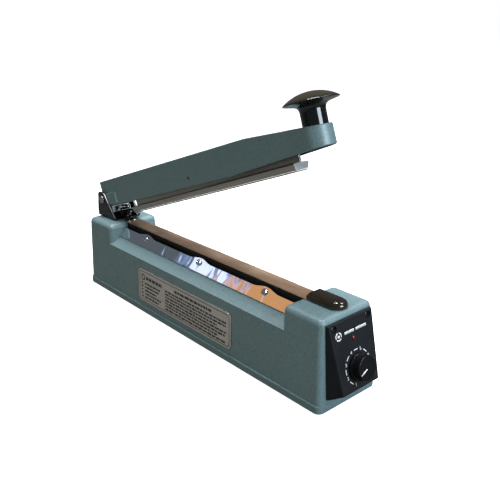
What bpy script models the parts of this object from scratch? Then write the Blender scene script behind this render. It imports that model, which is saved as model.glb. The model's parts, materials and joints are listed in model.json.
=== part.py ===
"""Impulse heat sealer: a cast base with a heated seal bar, and a sprung arm with a pressure bar.

Frame: origin on the floor under the middle of the whole model, +X to the control end, +Z up, metres.
Pieces are drawn round the centre of the bottom plate's underside, and MODEL_SHIFT moves them all at the end.
The arm and all that rides on it are modelled flat, along +X from the hinge pin, and are then tilted
up by OPEN_ANGLE with an empty on the hinge axis.
"""
import math

import bmesh
import bpy
from mathutils import Matrix, Vector

# ---------------------------------------------------------------- driving dimensions
MODEL_SHIFT = (-0.00889, 0.0, 0.0040)
GAP = 0.0003                  # clearance between pieces that touch
RUNNING = 0.0001              # radial clearance of a shaft that turns or slides in a hole
BODY_LENGTH = 0.450
BODY_WIDTH = 0.084
RIM_BOTTOM = -0.003
RIM_TOP = 0.005
RIM_LEDGE = 0.0015            # how far the wall stands back from the rim
BLOCK_TOP = 0.0925            # top of the two end blocks
SIDE_DRAFT = 0.0045           # the side walls lean in by this much, rim to top
END_DRAFT = 0.0033
CORNER_RADIUS = 0.007
TOP_RADIUS = 0.005
REAR = -BODY_LENGTH / 2
FRONT = BODY_LENGTH / 2
REAR_BLOCK_END = REAR + 0.062
FRONT_BLOCK_START = REAR + 0.394
SHELF_OUTER_Z = 0.067         # where the shelf meets the side wall
STRIP_FOOT = (0.022, 0.0746)  # y, z of the seat of a retaining strip, lower edge
STRIP_HEAD = (0.0132, 0.0853)
BAR_SEAT_Z = 0.081            # floor under the seal bar
CHANNEL_Z = 0.0913            # floor of the shallow channel in the block tops
CHANNEL_HALF = 0.011
CHANNEL_REAR = REAR + 0.044
CHANNEL_FRONT = REAR + 0.412

PLATE_THICKNESS = 0.0012
PLATE_MARGIN = 0.0033         # body edge to bottom plate edge
PLATE_SCREWS = [(sx * (BODY_LENGTH / 2 - 0.013), sy * 0.0335) for sx in (-1, 1) for sy in (-1, 1)]
FOOT_RADIUS = 0.008
FOOT_HEIGHT = 0.0037

REAR_FITTING_Z = 0.022        # height of the cord grommet and the fuse holder in the rear wall
GROMMET_Y = 0.017
GROMMET_RADIUS = 0.0055
FUSE_RADIUS = 0.0065

SEAL_BAR_HALF = 0.0099
SEAL_BAR_TOP = 0.0916
ELEMENT_Z = 0.0919
ELEMENT_THICKNESS = 0.00025
TAPE_Z = 0.09245
TAPE_THICKNESS = 0.0003
TAPE_HALF = 0.0103
TAPE_REAR = REAR + 0.061
TAPE_FRONT = REAR + 0.405

STRIP_RISE = (STRIP_FOOT[0] - STRIP_HEAD[0], STRIP_HEAD[1] - STRIP_FOOT[1])
STRIP_SLOPE = math.atan2(STRIP_RISE[1], STRIP_RISE[0])
STRIP_WIDTH = math.hypot(*STRIP_RISE)
STRIP_THICKNESS = 0.001
STRIP_LOBE = 0.0034
STRIP_LOBE_HALF_LENGTH = 0.021
STRIP_SCREW_X = [REAR + 0.118, REAR + 0.232, REAR + 0.346]
STRIP_SCREW_HEIGHT = 0.0112   # up the strip from its lower edge

HINGE_X = REAR + 0.017
HINGE_Z = 0.117
OPEN_ANGLE = math.radians(19.5)
PIN_RADIUS = 0.004
EAR_INNER = 0.0176
EAR_THICKNESS = 0.0027
BRACKET_Z = 0.0928            # underside of the hinge bracket
BRACKET_THICKNESS = 0.002
BRACKET_SCREWS = (REAR + 0.0315, 0.0137)

ARM_HALF = 0.0153
ARM_WALL = 0.0031
ARM_REAR = -0.006
ARM_TIP = 0.4245
ARM_KINK = (0.3226, 0.0158)
ARM_TOP_REAR = 0.0239
ARM_TOP_TIP = 0.0065
HINGE_BLOCK_END = 0.040
SPRING_SEAT = -0.0055
PAD_HALF = 0.0172
PAD_BOTTOM = -0.0112
HINGE_PLATE_SCREW_Y = 0.0074
HINGE_PLATE_SCREW_W = -0.0165

BAR_PIN = (0.212, -0.006)
BAR_PIN_RADIUS = 0.002
BAR_REAR = 0.0565
BAR_FRONT = 0.380
BAR_TOP = -0.0206
BAR_BOTTOM = -0.0273
SILICONE_BOTTOM = -0.02907
WEB_HALF = 0.0012

KNOB_U = 0.409
KNOB_TILT = math.radians(2.5)
KNOB_SEAT = 0.0066
STEM_RADIUS = 0.0121
CAP_RADIUS = 0.0266
CAP_RIM = 0.0294
CAP_TOP = 0.0382

# front console: the face leans out towards its foot
FACE_TOP = (FRONT - 0.001, 0.087)
FACE_FOOT = (FRONT + 0.016, 0.0185)
FACE_DOWN = Vector((FACE_FOOT[0] - FACE_TOP[0], 0, FACE_FOOT[1] - FACE_TOP[1])).normalized()
FACE_NORMAL = Vector((-FACE_DOWN.z, 0, FACE_DOWN.x))
FACE_TOP_HALF = 0.0305
FACE_FOOT_HALF = 0.0254
CONSOLE_HALF = 0.031
CONSOLE_BOTTOM = 0.0102
CONSOLE_TOP = 0.0875
CONSOLE_FLANGE = 0.002
CONSOLE_WALL = 0.0022
DIAL_DOWN = 0.049             # distances down the face from its top edge
LAMP_DOWN = 0.0197
SCREW_DOWN = 0.0044
CONSOLE_SCREW_Y = 0.0238
TIMER_HEIGHT = 0.0122
TIMER_BASE_RADIUS = 0.0136
TIMER_FACE_RADIUS = 0.0123

COVER_REAR = REAR + 0.400
COVER_FRONT = REAR + 0.442
COVER_HALF = 0.0108
COVER_Z = 0.0931
COVER_HEIGHT = 0.0063

ROD_X = REAR + 0.0309
ROD_RADIUS = 0.0019
ROD_TOP = 0.0980
ROD_BOTTOM = 0.0786
LEVER_PIVOT = (REAR + 0.040, 0.0742)
LEVER_ANGLE = math.radians(20)

# ---------------------------------------------------------------- scene and helpers
for old in list(bpy.data.objects):
    bpy.data.objects.remove(old, do_unlink=True)

parts = bpy.data.collections.new("impulse_heat_sealer")
cutters = bpy.data.collections.new("cutters")
for collection in (parts, cutters):
    bpy.context.scene.collection.children.link(collection)


def make_material(name, colour, roughness, metallic=0.0):
    material = bpy.data.materials.new(name)
    material.use_nodes = True
    shader = material.node_tree.nodes["Principled BSDF"]
    shader.inputs["Base Color"].default_value = (*colour, 1.0)
    shader.inputs["Roughness"].default_value = roughness
    shader.inputs["Metallic"].default_value = metallic
    return material


paint = make_material("hammertone_paint", (0.13, 0.19, 0.19), 0.4)
black_plastic = make_material("black_plastic", (0.015, 0.015, 0.017), 0.45)
gloss_black = make_material("gloss_black", (0.01, 0.01, 0.01), 0.12)
rubber = make_material("rubber", (0.02, 0.02, 0.02), 0.8)
silicone = make_material("silicone", (0.45, 0.42, 0.38), 0.6)
chrome = make_material("chrome", (0.75, 0.76, 0.78), 0.08, 1.0)
zinc = make_material("zinc_plate", (0.6, 0.59, 0.55), 0.3, 1.0)
steel = make_material("steel", (0.5, 0.5, 0.5), 0.35, 1.0)
black_steel = make_material("black_steel", (0.02, 0.02, 0.02), 0.35, 0.4)
aluminium = make_material("aluminium", (0.6, 0.59, 0.58), 0.35, 1.0)
foil = make_material("nameplate_foil", (0.42, 0.39, 0.37), 0.45, 0.6)
tape_cloth = make_material("ptfe_cloth", (0.3, 0.18, 0.1), 0.5)
brass = make_material("brass", (0.7, 0.5, 0.2), 0.3, 1.0)
copper = make_material("enamelled_copper", (0.5, 0.2, 0.08), 0.35, 0.8)
board_green = make_material("circuit_board", (0.02, 0.18, 0.08), 0.5)
red_lens = make_material("red_lens", (0.5, 0.03, 0.02), 0.2)
phenolic = make_material("phenolic_black", (0.012, 0.012, 0.012), 0.5)


def finish_mesh(bm, name):
    bmesh.ops.recalc_face_normals(bm, faces=bm.faces[:])
    mesh = bpy.data.meshes.new(name)
    bm.to_mesh(mesh)
    bm.free()
    return mesh


def add(name, mesh, material=None, parent=None):
    """A named part, or a cutter when it has no material."""
    obj = bpy.data.objects.new(name, mesh)
    (parts if material else cutters).objects.link(obj)
    if material:
        mesh.materials.clear()
        mesh.materials.append(material)
    else:
        obj.hide_render = True
        obj.display_type = "WIRE"
    obj.parent = parent
    return obj


def box_mesh(low, high, name="box"):
    bm = bmesh.new()
    size = [b - a for a, b in zip(low, high)]
    centre = [(a + b) / 2 for a, b in zip(low, high)]
    matrix = Matrix.Translation(centre) @ Matrix.Diagonal((*size, 1.0))
    bmesh.ops.create_cube(bm, size=1.0, matrix=matrix)
    return finish_mesh(bm, name)


def tapered_box_mesh(low, high, shrink_x, shrink_y, name="tapered"):
    """A box whose top is smaller, by shrink_x and shrink_y on each side."""
    mesh = box_mesh(low, high, name)
    middle_x = (low[0] + high[0]) / 2
    for vertex in mesh.vertices:
        if vertex.co.z > (low[2] + high[2]) / 2:
            vertex.co.x -= math.copysign(shrink_x, vertex.co.x - middle_x)
            vertex.co.y -= math.copysign(shrink_y, vertex.co.y)
    return mesh


def cylinder_mesh(radius, start, end, segments=24, name="cylinder", radius_end=None):
    """A cylinder or cone from the point start to the point end."""
    start, end = Vector(start), Vector(end)
    axis = end - start
    matrix = Matrix.Translation((start + end) / 2) @ axis.to_track_quat("Z", "Y").to_matrix().to_4x4()
    bm = bmesh.new()
    bmesh.ops.create_cone(bm, cap_ends=True, segments=segments, radius1=radius,
                          radius2=radius if radius_end is None else radius_end,
                          depth=axis.length, matrix=matrix)
    return finish_mesh(bm, name)


def curve_to_mesh(curve_object, name):
    """The curve's solid as a welded mesh in world space; the curve is removed."""
    depsgraph = bpy.context.evaluated_depsgraph_get()
    mesh = bpy.data.meshes.new_from_object(curve_object.evaluated_get(depsgraph))
    mesh.transform(curve_object.matrix_world)
    mesh.name = name
    bpy.data.objects.remove(curve_object, do_unlink=True)
    bm = bmesh.new()
    bm.from_mesh(mesh)
    bmesh.ops.remove_doubles(bm, verts=bm.verts[:], dist=1e-6)
    bmesh.ops.recalc_face_normals(bm, faces=bm.faces[:])
    bm.to_mesh(mesh)
    bm.free()
    return mesh


PLANES = {
    # where an outline's first axis, second axis and thickness axis point
    "XY": Matrix.Identity(3),
    "XZ": Matrix(((1, 0, 0), (0, 0, -1), (0, 1, 0))),
    "YZ": Matrix(((0, 0, 1), (1, 0, 0), (0, 1, 0))),
}


def outline_mesh(points, low, high, plane="XY", name="outline"):
    """A flat outline made solid between two levels along the axis across its plane."""
    curve = bpy.data.curves.new(name, "CURVE")
    curve.dimensions = "2D"
    curve.fill_mode = "BOTH"
    spline = curve.splines.new("POLY")
    spline.points.add(len(points) - 1)
    for point, (a, b) in zip(spline.points, points):
        point.co = (a, b, 0.0, 1.0)
    spline.use_cyclic_u = True
    curve.extrude = abs(high - low) / 2
    obj = bpy.data.objects.new(name, curve)
    cutters.objects.link(obj)
    middle = (low + high) / 2
    rotation = PLANES[plane].to_4x4()
    shift = Vector((0, 0, middle)) if plane != "XZ" else Vector((0, 0, -middle))
    obj.matrix_world = rotation @ Matrix.Translation(shift)
    bpy.context.view_layer.update()
    return curve_to_mesh(obj, name)


def arc(centre, radius, start, end, steps):
    """Points on an arc, angles in degrees."""
    points = []
    for i in range(steps + 1):
        angle = math.radians(start + (end - start) * i / steps)
        points.append((centre[0] + radius * math.cos(angle), centre[1] + radius * math.sin(angle)))
    return points


def rounded_rectangle(low, high, radius, steps=4):
    (x0, y0), (x1, y1) = low, high
    return (arc((x1 - radius, y1 - radius), radius, 0, 90, steps)
            + arc((x0 + radius, y1 - radius), radius, 90, 180, steps)
            + arc((x0 + radius, y0 + radius), radius, 180, 270, steps)
            + arc((x1 - radius, y0 + radius), radius, 270, 360, steps))


def turned(name, profile, material, parent=None, steps=32):
    """A turned piece: profile points (radius, height) run down the outside, top to bottom.

    A profile that ends where it began makes a ring.
    """
    mesh = bpy.data.meshes.new(name)
    ring = profile[0] == profile[-1]
    points = [(radius, 0.0, height) for radius, height in (profile[:-1] if ring else profile)]
    edges = [(i, i + 1) for i in range(len(points) - 1)]
    if ring:
        edges.append((len(points) - 1, 0))
    mesh.from_pydata(points, edges, [])
    obj = add(name, mesh, material, parent)
    screw = obj.modifiers.new("turn", "SCREW")
    screw.steps = steps
    screw.render_steps = steps
    screw.use_merge_vertices = True
    screw.merge_threshold = 0.00001
    return obj


def bevel(obj, width, segments=2, angle=30):
    modifier = obj.modifiers.new("bevel", "BEVEL")
    modifier.width = width
    modifier.segments = segments
    modifier.limit_method = "ANGLE"
    modifier.angle_limit = math.radians(angle)
    return obj


def apply_modifiers(obj):
    depsgraph = bpy.context.evaluated_depsgraph_get()
    mesh = bpy.data.meshes.new_from_object(obj.evaluated_get(depsgraph))
    obj.modifiers.clear()
    obj.data = mesh
    return obj


def triangulate(mesh):
    bm = bmesh.new()
    bm.from_mesh(mesh)
    bmesh.ops.triangulate(bm, faces=bm.faces[:])
    bm.to_mesh(mesh)
    bm.free()


def merge_flat_faces(mesh):
    """Weld what a Boolean leaves split and merge the triangles of each flat face."""
    bm = bmesh.new()
    bm.from_mesh(mesh)
    bmesh.ops.remove_doubles(bm, verts=bm.verts[:], dist=2e-7)
    bmesh.ops.dissolve_limit(bm, angle_limit=math.radians(0.05), verts=bm.verts[:], edges=bm.edges[:])
    bm.to_mesh(mesh)
    bm.free()


def combine(obj, mesh, operation):
    """Join a mesh to an object, cut it out of it, or keep only what they share."""
    triangulate(obj.data)
    triangulate(mesh)
    cutter = add(obj.name + "_cutter", mesh)
    bpy.context.view_layer.update()
    cutter.matrix_world = obj.matrix_world
    modifier = obj.modifiers.new("boolean", "BOOLEAN")
    modifier.operation = operation
    modifier.solver = "EXACT"
    modifier.object = cutter
    bpy.context.view_layer.update()
    apply_modifiers(obj)
    merge_flat_faces(obj.data)
    bpy.data.objects.remove(cutter, do_unlink=True)
    return obj


def cut(obj, mesh):
    return combine(obj, mesh, "DIFFERENCE")


def join(obj, mesh):
    return combine(obj, mesh, "UNION")


def keep_inside(obj, mesh):
    return combine(obj, mesh, "INTERSECT")


def hull_mesh(points, name="hull"):
    bm = bmesh.new()
    vertices = [bm.verts.new(point) for point in points]
    result = bmesh.ops.convex_hull(bm, input=vertices)
    unused = [v for v in result["geom_interior"] + result["geom_unused"] if isinstance(v, bmesh.types.BMVert)]
    bmesh.ops.delete(bm, geom=unused, context="VERTS")
    bmesh.ops.dissolve_limit(bm, angle_limit=math.radians(1), verts=bm.verts[:], edges=bm.edges[:])
    return finish_mesh(bm, name)


def bevelled_mesh(mesh, width, segments, angle=30):
    obj = bevel(add("bevelled", mesh), width, segments, angle)
    apply_modifiers(obj)
    result = obj.data
    bpy.data.objects.remove(obj, do_unlink=True)
    return result


def screw(name, place, direction, head_radius, head_height, shank_radius, shank_length, parent=None,
          material=zinc, segments=16):
    """A round-headed screw: place is under the head, direction points out of the hole."""
    place, direction = Vector(place), Vector(direction).normalized()
    rim = 0.35 * head_height
    profile = [(0.0, head_height)]
    profile += [(0.6 * head_radius, head_height), (0.92 * head_radius, head_height - rim)]
    profile += [(head_radius, 0.3 * head_height), (head_radius, 0.0)]
    profile += [(shank_radius, 0.0), (shank_radius, -shank_length), (0.0, -shank_length)]
    obj = turned(name, profile, material, parent, segments)
    rotation = direction.to_track_quat("Z", "Y").to_matrix().to_4x4()
    obj.matrix_local = Matrix.Translation(place) @ rotation
    return obj


def empty(name, matrix, parent=None):
    obj = bpy.data.objects.new(name, None)
    parts.objects.link(obj)
    obj.parent = parent
    obj.matrix_local = matrix
    bpy.context.view_layer.update()
    return obj


# ---------------------------------------------------------------- base casting
def side_wall_y(z):
    """Half width of the drafted side wall at height z."""
    share = (z - RIM_TOP) / (BLOCK_TOP - RIM_TOP)
    return BODY_WIDTH / 2 - RIM_LEDGE - SIDE_DRAFT * share


def front_wall_x(z):
    share = (z - RIM_TOP) / (BLOCK_TOP - RIM_TOP)
    return FRONT - RIM_LEDGE + 0.0003 - END_DRAFT * share


def block_mesh(x_low, x_high, rear_end, front_end):
    """An end block, drafted on its outer walls, with rounded upright corners and top edges."""
    bottom = RIM_TOP - 0.012
    mesh = box_mesh((x_low, -1, bottom), (x_high, 1, BLOCK_TOP), "block")
    middle = (x_low + x_high) / 2
    for vertex in mesh.vertices:
        z = vertex.co.z
        vertex.co.y = math.copysign(side_wall_y(z), vertex.co.y)
        if rear_end and vertex.co.x < middle:
            vertex.co.x = -front_wall_x(z)
        if front_end and vertex.co.x > middle:
            vertex.co.x = front_wall_x(z)
    block = add("block", bevelled_mesh(mesh, TOP_RADIUS + 0.001, 4))
    cut(block, box_mesh((-1, -1, -1), (1, 1, RIM_TOP - 0.0017)))
    result = block.data
    bpy.data.objects.remove(block, do_unlink=True)
    return result


def build_base_casting():
    rim = rounded_rectangle((REAR, -BODY_WIDTH / 2), (FRONT, BODY_WIDTH / 2), CORNER_RADIUS, 5)
    casting = add("base_casting", outline_mesh(rim, RIM_BOTTOM, RIM_TOP), paint)
    bevel(casting, 0.0006, 1, 40)
    apply_modifiers(casting)

    # full-length lower body with the shelves and the centre ridge on top
    inset = 0.0002
    foot_y = BODY_WIDTH / 2 - RIM_LEDGE - inset
    wall_y = side_wall_y(SHELF_OUTER_Z) - inset
    half = [(foot_y, RIM_TOP - 0.002), (wall_y, SHELF_OUTER_Z), STRIP_FOOT, STRIP_HEAD,
            (STRIP_HEAD[0], BAR_SEAT_Z)]
    section = half + [(-y, z) for y, z in reversed(half)]
    middle = outline_mesh(section, REAR + 0.012, FRONT - 0.012, "YZ")
    join(casting, middle)
    join(casting, block_mesh(REAR, REAR_BLOCK_END, True, False))
    join(casting, block_mesh(FRONT_BLOCK_START, FRONT, False, True))

    # hollow underneath: a recess for the bottom plate, the main space and a space in each block
    recess = rounded_rectangle((REAR + 0.003, -0.0393), (FRONT - 0.003, 0.0393), 0.0045, 3)
    cut(casting, outline_mesh(recess, -0.01, 0.0015))
    main_space = tapered_box_mesh((REAR + 0.006, -0.0366, 0.001), (FRONT - 0.0065, 0.0366, 0.063), 0.002, 0.003)
    cut(casting, main_space)
    ridge_space = box_mesh((REAR_BLOCK_END - 0.01, -0.009, 0.06), (FRONT_BLOCK_START + 0.01, 0.009, 0.0765))
    cut(casting, ridge_space)
    cut(casting, box_mesh((REAR + 0.0095, -0.031, 0.06), (REAR + 0.0425, 0.031, 0.0888)))
    cut(casting, box_mesh((FRONT - 0.037, -0.031, 0.06), (FRONT - 0.009, 0.031, 0.0888)))

    # channel for the tape and element in the block tops, and a pocket for each terminal
    cut(casting, box_mesh((CHANNEL_REAR, -CHANNEL_HALF, CHANNEL_Z), (CHANNEL_FRONT, CHANNEL_HALF, 0.12)))
    for start in (REAR + 0.046, REAR + 0.398):
        cut(casting, box_mesh((start, -0.006, 0.0835), (start + 0.012, 0.006, 0.1)))

    # window behind the console, holes for screws, push rod, cord grommet and fuse holder
    cut(casting, box_mesh((FRONT - 0.02, -0.024, 0.017), (FRONT + 0.02, 0.024, 0.076)))
    for side in (-1, 1):
        place = face_point(SCREW_DOWN, side * CONSOLE_SCREW_Y)
        cut(casting, cylinder_mesh(0.0019, place, place - FACE_NORMAL * 0.012, 12))
        for x in STRIP_SCREW_X:
            start = strip_point(side, x, STRIP_SCREW_HEIGHT, 0.004)
            end = strip_point(side, x, STRIP_SCREW_HEIGHT, -0.0075)
            cut(casting, cylinder_mesh(0.0019, start, end, 12))
        x, y = BRACKET_SCREWS[0], side * BRACKET_SCREWS[1]
        cut(casting, cylinder_mesh(0.0019, (x, y, 0.1), (x, y, 0.08), 12))
    cut(casting, cylinder_mesh(ROD_RADIUS + RUNNING, (ROD_X, 0, 0.1), (ROD_X, 0, 0.08), 16))
    cut(casting, cylinder_mesh(GROMMET_RADIUS + GAP, (REAR - 0.01, GROMMET_Y, REAR_FITTING_Z),
                               (REAR + 0.02, GROMMET_Y, REAR_FITTING_Z), 24))
    cut(casting, cylinder_mesh(FUSE_RADIUS + GAP, (REAR - 0.01, -GROMMET_Y, REAR_FITTING_Z),
                               (REAR + 0.02, -GROMMET_Y, REAR_FITTING_Z), 24))
    for x, y in PLATE_SCREWS:
        inner_x, outer_x = x - math.copysign(0.005, x), x + math.copysign(0.008, x)
        low = (min(inner_x, outer_x), y - 0.0045, 0.0018)
        high = (max(inner_x, outer_x), y + 0.0045, 0.012)
        join(casting, box_mesh(low, high))
        cut(casting, cylinder_mesh(0.0017, (x, y, -0.01), (x, y, 0.010), 12))
    return casting


def face_point(down, y):
    """A point on the console's face, so far down from its top edge."""
    return Vector((FACE_TOP[0], y, FACE_TOP[1])) + FACE_DOWN * down


def strip_point(side, x, up, out):
    """A point on a strip's seat: up its slope from the lower edge, and out from the surface."""
    y = STRIP_FOOT[0] - up * math.cos(STRIP_SLOPE) + out * math.sin(STRIP_SLOPE)
    z = STRIP_FOOT[1] + up * math.sin(STRIP_SLOPE) + out * math.cos(STRIP_SLOPE)
    return Vector((x, side * y, z))


# ---------------------------------------------------------------- underside
def build_underside():
    low = (REAR + PLATE_MARGIN, -BODY_WIDTH / 2 + PLATE_MARGIN)
    high = (FRONT - PLATE_MARGIN, BODY_WIDTH / 2 - PLATE_MARGIN)
    plate_outline = rounded_rectangle(low, high, 0.0042, 3)
    plate = add("bottom_plate", outline_mesh(plate_outline, 0, PLATE_THICKNESS), steel)
    for x, y in PLATE_SCREWS:
        cut(plate, cylinder_mesh(0.0017, (x, y, -0.01), (x, y, 0.01), 12))
    names = ("rear_right", "rear_left", "front_right", "front_left")
    for name, (x, y) in zip(names, PLATE_SCREWS):
        screw("plate_screw_" + name, (x, y, -GAP), (0, 0, -1), 0.0029, 0.0014, 0.0014, 0.0092)
        foot_x = x - math.copysign(0.022, x)
        foot_y = y - math.copysign(0.008, y)
        profile = [(0.0, 0.0), (FOOT_RADIUS, 0.0), (FOOT_RADIUS, -0.6 * FOOT_HEIGHT),
                   (0.85 * FOOT_RADIUS, -FOOT_HEIGHT), (0.0, -FOOT_HEIGHT)]
        foot = turned("foot_" + name, profile, rubber, None, 20)
        foot.location = (foot_x, foot_y, -GAP)


# ---------------------------------------------------------------- seal bar, tape and strips
def strip_outline():
    """Lower edge straight, upper edge with a lobe at each screw, in strip coordinates."""
    start, end = REAR_BLOCK_END + 0.0008, FRONT_BLOCK_START - 0.0008
    points = [(start, 0.0), (end, 0.0), (end, STRIP_WIDTH)]
    upper = []
    for x in reversed(STRIP_SCREW_X):
        for i in range(9):
            offset = 1 - i / 4
            lift = 0.5 * (1 + math.cos(math.pi * offset))
            upper.append((x + offset * STRIP_LOBE_HALF_LENGTH, STRIP_WIDTH + STRIP_LOBE * lift))
    return points + upper + [(start, STRIP_WIDTH)]


def build_sealing_parts():
    for side, name in ((-1, "right"), (1, "left")):
        sheet = outline_mesh(strip_outline(), GAP, GAP + STRIP_THICKNESS)
        strip = add("retaining_strip_" + name, sheet, chrome)
        for x in STRIP_SCREW_X:
            y = STRIP_SCREW_HEIGHT
            cut(strip, cylinder_mesh(0.0019, (x, y, -0.01), (x, y, 0.01), 12))
        origin = strip_point(side, 0, 0, 0)
        up_slope = (strip_point(side, 0, 1, 0) - origin).normalized()
        outward = (strip_point(side, 0, 0, 1) - origin).normalized()
        basis = Matrix(((1, 0, 0), up_slope, outward)).transposed().to_4x4()
        strip.data.transform(Matrix.Translation(origin) @ basis)
        if side < 0:
            strip.data.flip_normals()
        make_consistent(strip)
        for number, x in enumerate(STRIP_SCREW_X, 1):
            place = strip_point(side, x, STRIP_SCREW_HEIGHT, 2 * GAP + STRIP_THICKNESS)
            screw(f"strip_screw_{name}_{number}", place, outward, 0.0036, 0.0024, 0.0016, 0.008, None, chrome)

    low = (REAR_BLOCK_END + GAP, -SEAL_BAR_HALF, BAR_SEAT_Z + GAP)
    high = (FRONT_BLOCK_START - GAP, SEAL_BAR_HALF, SEAL_BAR_TOP)
    bevel(add("seal_bar", box_mesh(low, high), phenolic), 0.0005, 1)
    element_low = (REAR + 0.0475, -0.0025, ELEMENT_Z)
    element_high = (REAR + 0.4085, 0.0025, ELEMENT_Z + ELEMENT_THICKNESS)
    add("heating_element", box_mesh(element_low, element_high), steel)
    tape_low = (TAPE_REAR, -TAPE_HALF, TAPE_Z)
    tape_high = (TAPE_FRONT, TAPE_HALF, TAPE_Z + TAPE_THICKNESS)
    add("ptfe_tape", box_mesh(tape_low, tape_high), tape_cloth)
    for name, start in (("terminal_rear", REAR + 0.046), ("terminal_front", REAR + 0.398)):
        block = box_mesh((start + GAP, -0.0057, 0.0838), (start + 0.012 - GAP, 0.0057, SEAL_BAR_TOP))
        bevel(add(name, block, brass), 0.0004, 1)


def make_consistent(obj):
    bm = bmesh.new()
    bm.from_mesh(obj.data)
    bmesh.ops.recalc_face_normals(bm, faces=bm.faces[:])
    bm.to_mesh(obj.data)
    bm.free()


def build_terminal_cover():
    outline = [(COVER_REAR, -COVER_HALF)]
    outline += arc((COVER_FRONT - COVER_HALF, 0), COVER_HALF, -90, 90, 12)
    outline += [(COVER_REAR, COVER_HALF)]
    cover = add("terminal_cover", outline_mesh(outline, COVER_Z - 0.01, COVER_Z + COVER_HEIGHT), gloss_black)
    bevel(cover, 0.0026, 3, 60)
    apply_modifiers(cover)
    cut(cover, box_mesh((-1, -1, -1), (1, 1, COVER_Z)))
    inner = [(COVER_REAR + 0.002, -COVER_HALF + 0.003)]
    inner += arc((COVER_FRONT - COVER_HALF, 0), COVER_HALF - 0.003, -90, 90, 8)
    inner += [(COVER_REAR + 0.002, COVER_HALF - 0.003)]
    cut(cover, outline_mesh(inner, COVER_Z - 0.01, COVER_Z + COVER_HEIGHT - 0.0022))


# ---------------------------------------------------------------- console
def build_console():
    back_low = front_wall_x(CONSOLE_BOTTOM) + GAP
    back_high = front_wall_x(CONSOLE_TOP) + GAP
    points = []
    for side in (-1, 1):
        wide = side * CONSOLE_HALF
        points += [(back_low, wide, CONSOLE_BOTTOM), (back_high, wide, CONSOLE_TOP)]
        points += [(back_low + CONSOLE_FLANGE, wide, CONSOLE_BOTTOM)]
        points += [(back_high + CONSOLE_FLANGE, wide, CONSOLE_TOP)]
        points += [(FACE_TOP[0], side * FACE_TOP_HALF, FACE_TOP[1])]
        points += [(FACE_FOOT[0], side * FACE_FOOT_HALF, FACE_FOOT[1])]
    console = add("front_console", hull_mesh(points), black_plastic)
    bevel(console, 0.0007, 2, 12)
    apply_modifiers(console)

    inner = []
    for side in (-1, 1):
        wide = side * 0.028
        inner += [(FRONT - 0.02, wide, 0.0135), (FRONT - 0.02, wide, 0.080)]
        inner += [(back_low + 0.0004, wide, 0.0135), (FRONT - 0.0023, wide, 0.080)]
        inner += [(FACE_FOOT[0] - 0.0028, side * 0.0226, FACE_FOOT[1] + 0.003)]
    cut(console, hull_mesh(inner))

    dial = face_point(DIAL_DOWN, 0)
    lamp = face_point(LAMP_DOWN, 0)
    cut(console, cylinder_mesh(0.0048, dial + FACE_NORMAL * 0.01, dial - FACE_NORMAL * 0.02, 24))
    cut(console, cylinder_mesh(0.0021, lamp + FACE_NORMAL * 0.01, lamp - FACE_NORMAL * 0.02, 20))
    for side, name in ((-1, "right"), (1, "left")):
        place = face_point(SCREW_DOWN, side * CONSOLE_SCREW_Y)
        cut(console, cylinder_mesh(0.0034, place + FACE_NORMAL * 0.01, place - FACE_NORMAL * 0.0018, 20))
        cut(console, cylinder_mesh(0.0019, place, place - FACE_NORMAL * 0.02, 12))
        seat = place - FACE_NORMAL * 0.0015
        screw("console_screw_" + name, seat, FACE_NORMAL, 0.003, 0.0011, 0.0016, 0.009, None, black_steel)

    lens = [(0.0, 0.0008), (0.0010, 0.0007), (0.0016, 0.0003), (0.0018, -0.0002), (0.0018, -0.006),
            (0.0, -0.006)]
    place_on_face(turned("indicator_lamp", lens, red_lens, None, 16), LAMP_DOWN)


def place_on_face(obj, down):
    rotation = FACE_NORMAL.to_track_quat("Z", "Y").to_matrix().to_4x4()
    obj.matrix_local = Matrix.Translation(face_point(down, 0)) @ rotation


def build_timer():
    rotation = FACE_NORMAL.to_track_quat("Z", "Y").to_matrix().to_4x4()
    axis = empty("timer_axis", Matrix.Translation(face_point(DIAL_DOWN, 0)) @ rotation)
    low, high = 0.0005, TIMER_HEIGHT
    profile = [(0.0, high - 0.0003), (TIMER_FACE_RADIUS - 0.0012, high - 0.0003),
               (TIMER_FACE_RADIUS - 0.0006, high), (TIMER_FACE_RADIUS, high - 0.0006),
               (TIMER_BASE_RADIUS - 0.0006, low + 0.003),
               (TIMER_BASE_RADIUS, low + 0.002), (TIMER_BASE_RADIUS, low), (0.0033, low), (0.0033, 0.0083),
               (0.0, 0.0083)]
    turned("timer_knob", profile, black_plastic, axis, 36)
    shaft = [(0.0, 0.008), (0.0026, 0.008), (0.003, 0.0076), (0.003, -0.0115), (0.0, -0.0115)]
    turned("timer_shaft", shaft, steel, axis, 16)
    bore = 0.0031
    body = [(bore, -0.0003), (0.0045, -0.0003), (0.0045, -0.0027), (0.0082, -0.0027), (0.0085, -0.003),
            (0.0085, -0.0138), (0.0, -0.0138)]
    pot = turned("potentiometer", [(0.0, -0.0118), (bore, -0.0118)] + body, phenolic, None, 24)
    place_on_face(pot, DIAL_DOWN)


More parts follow.
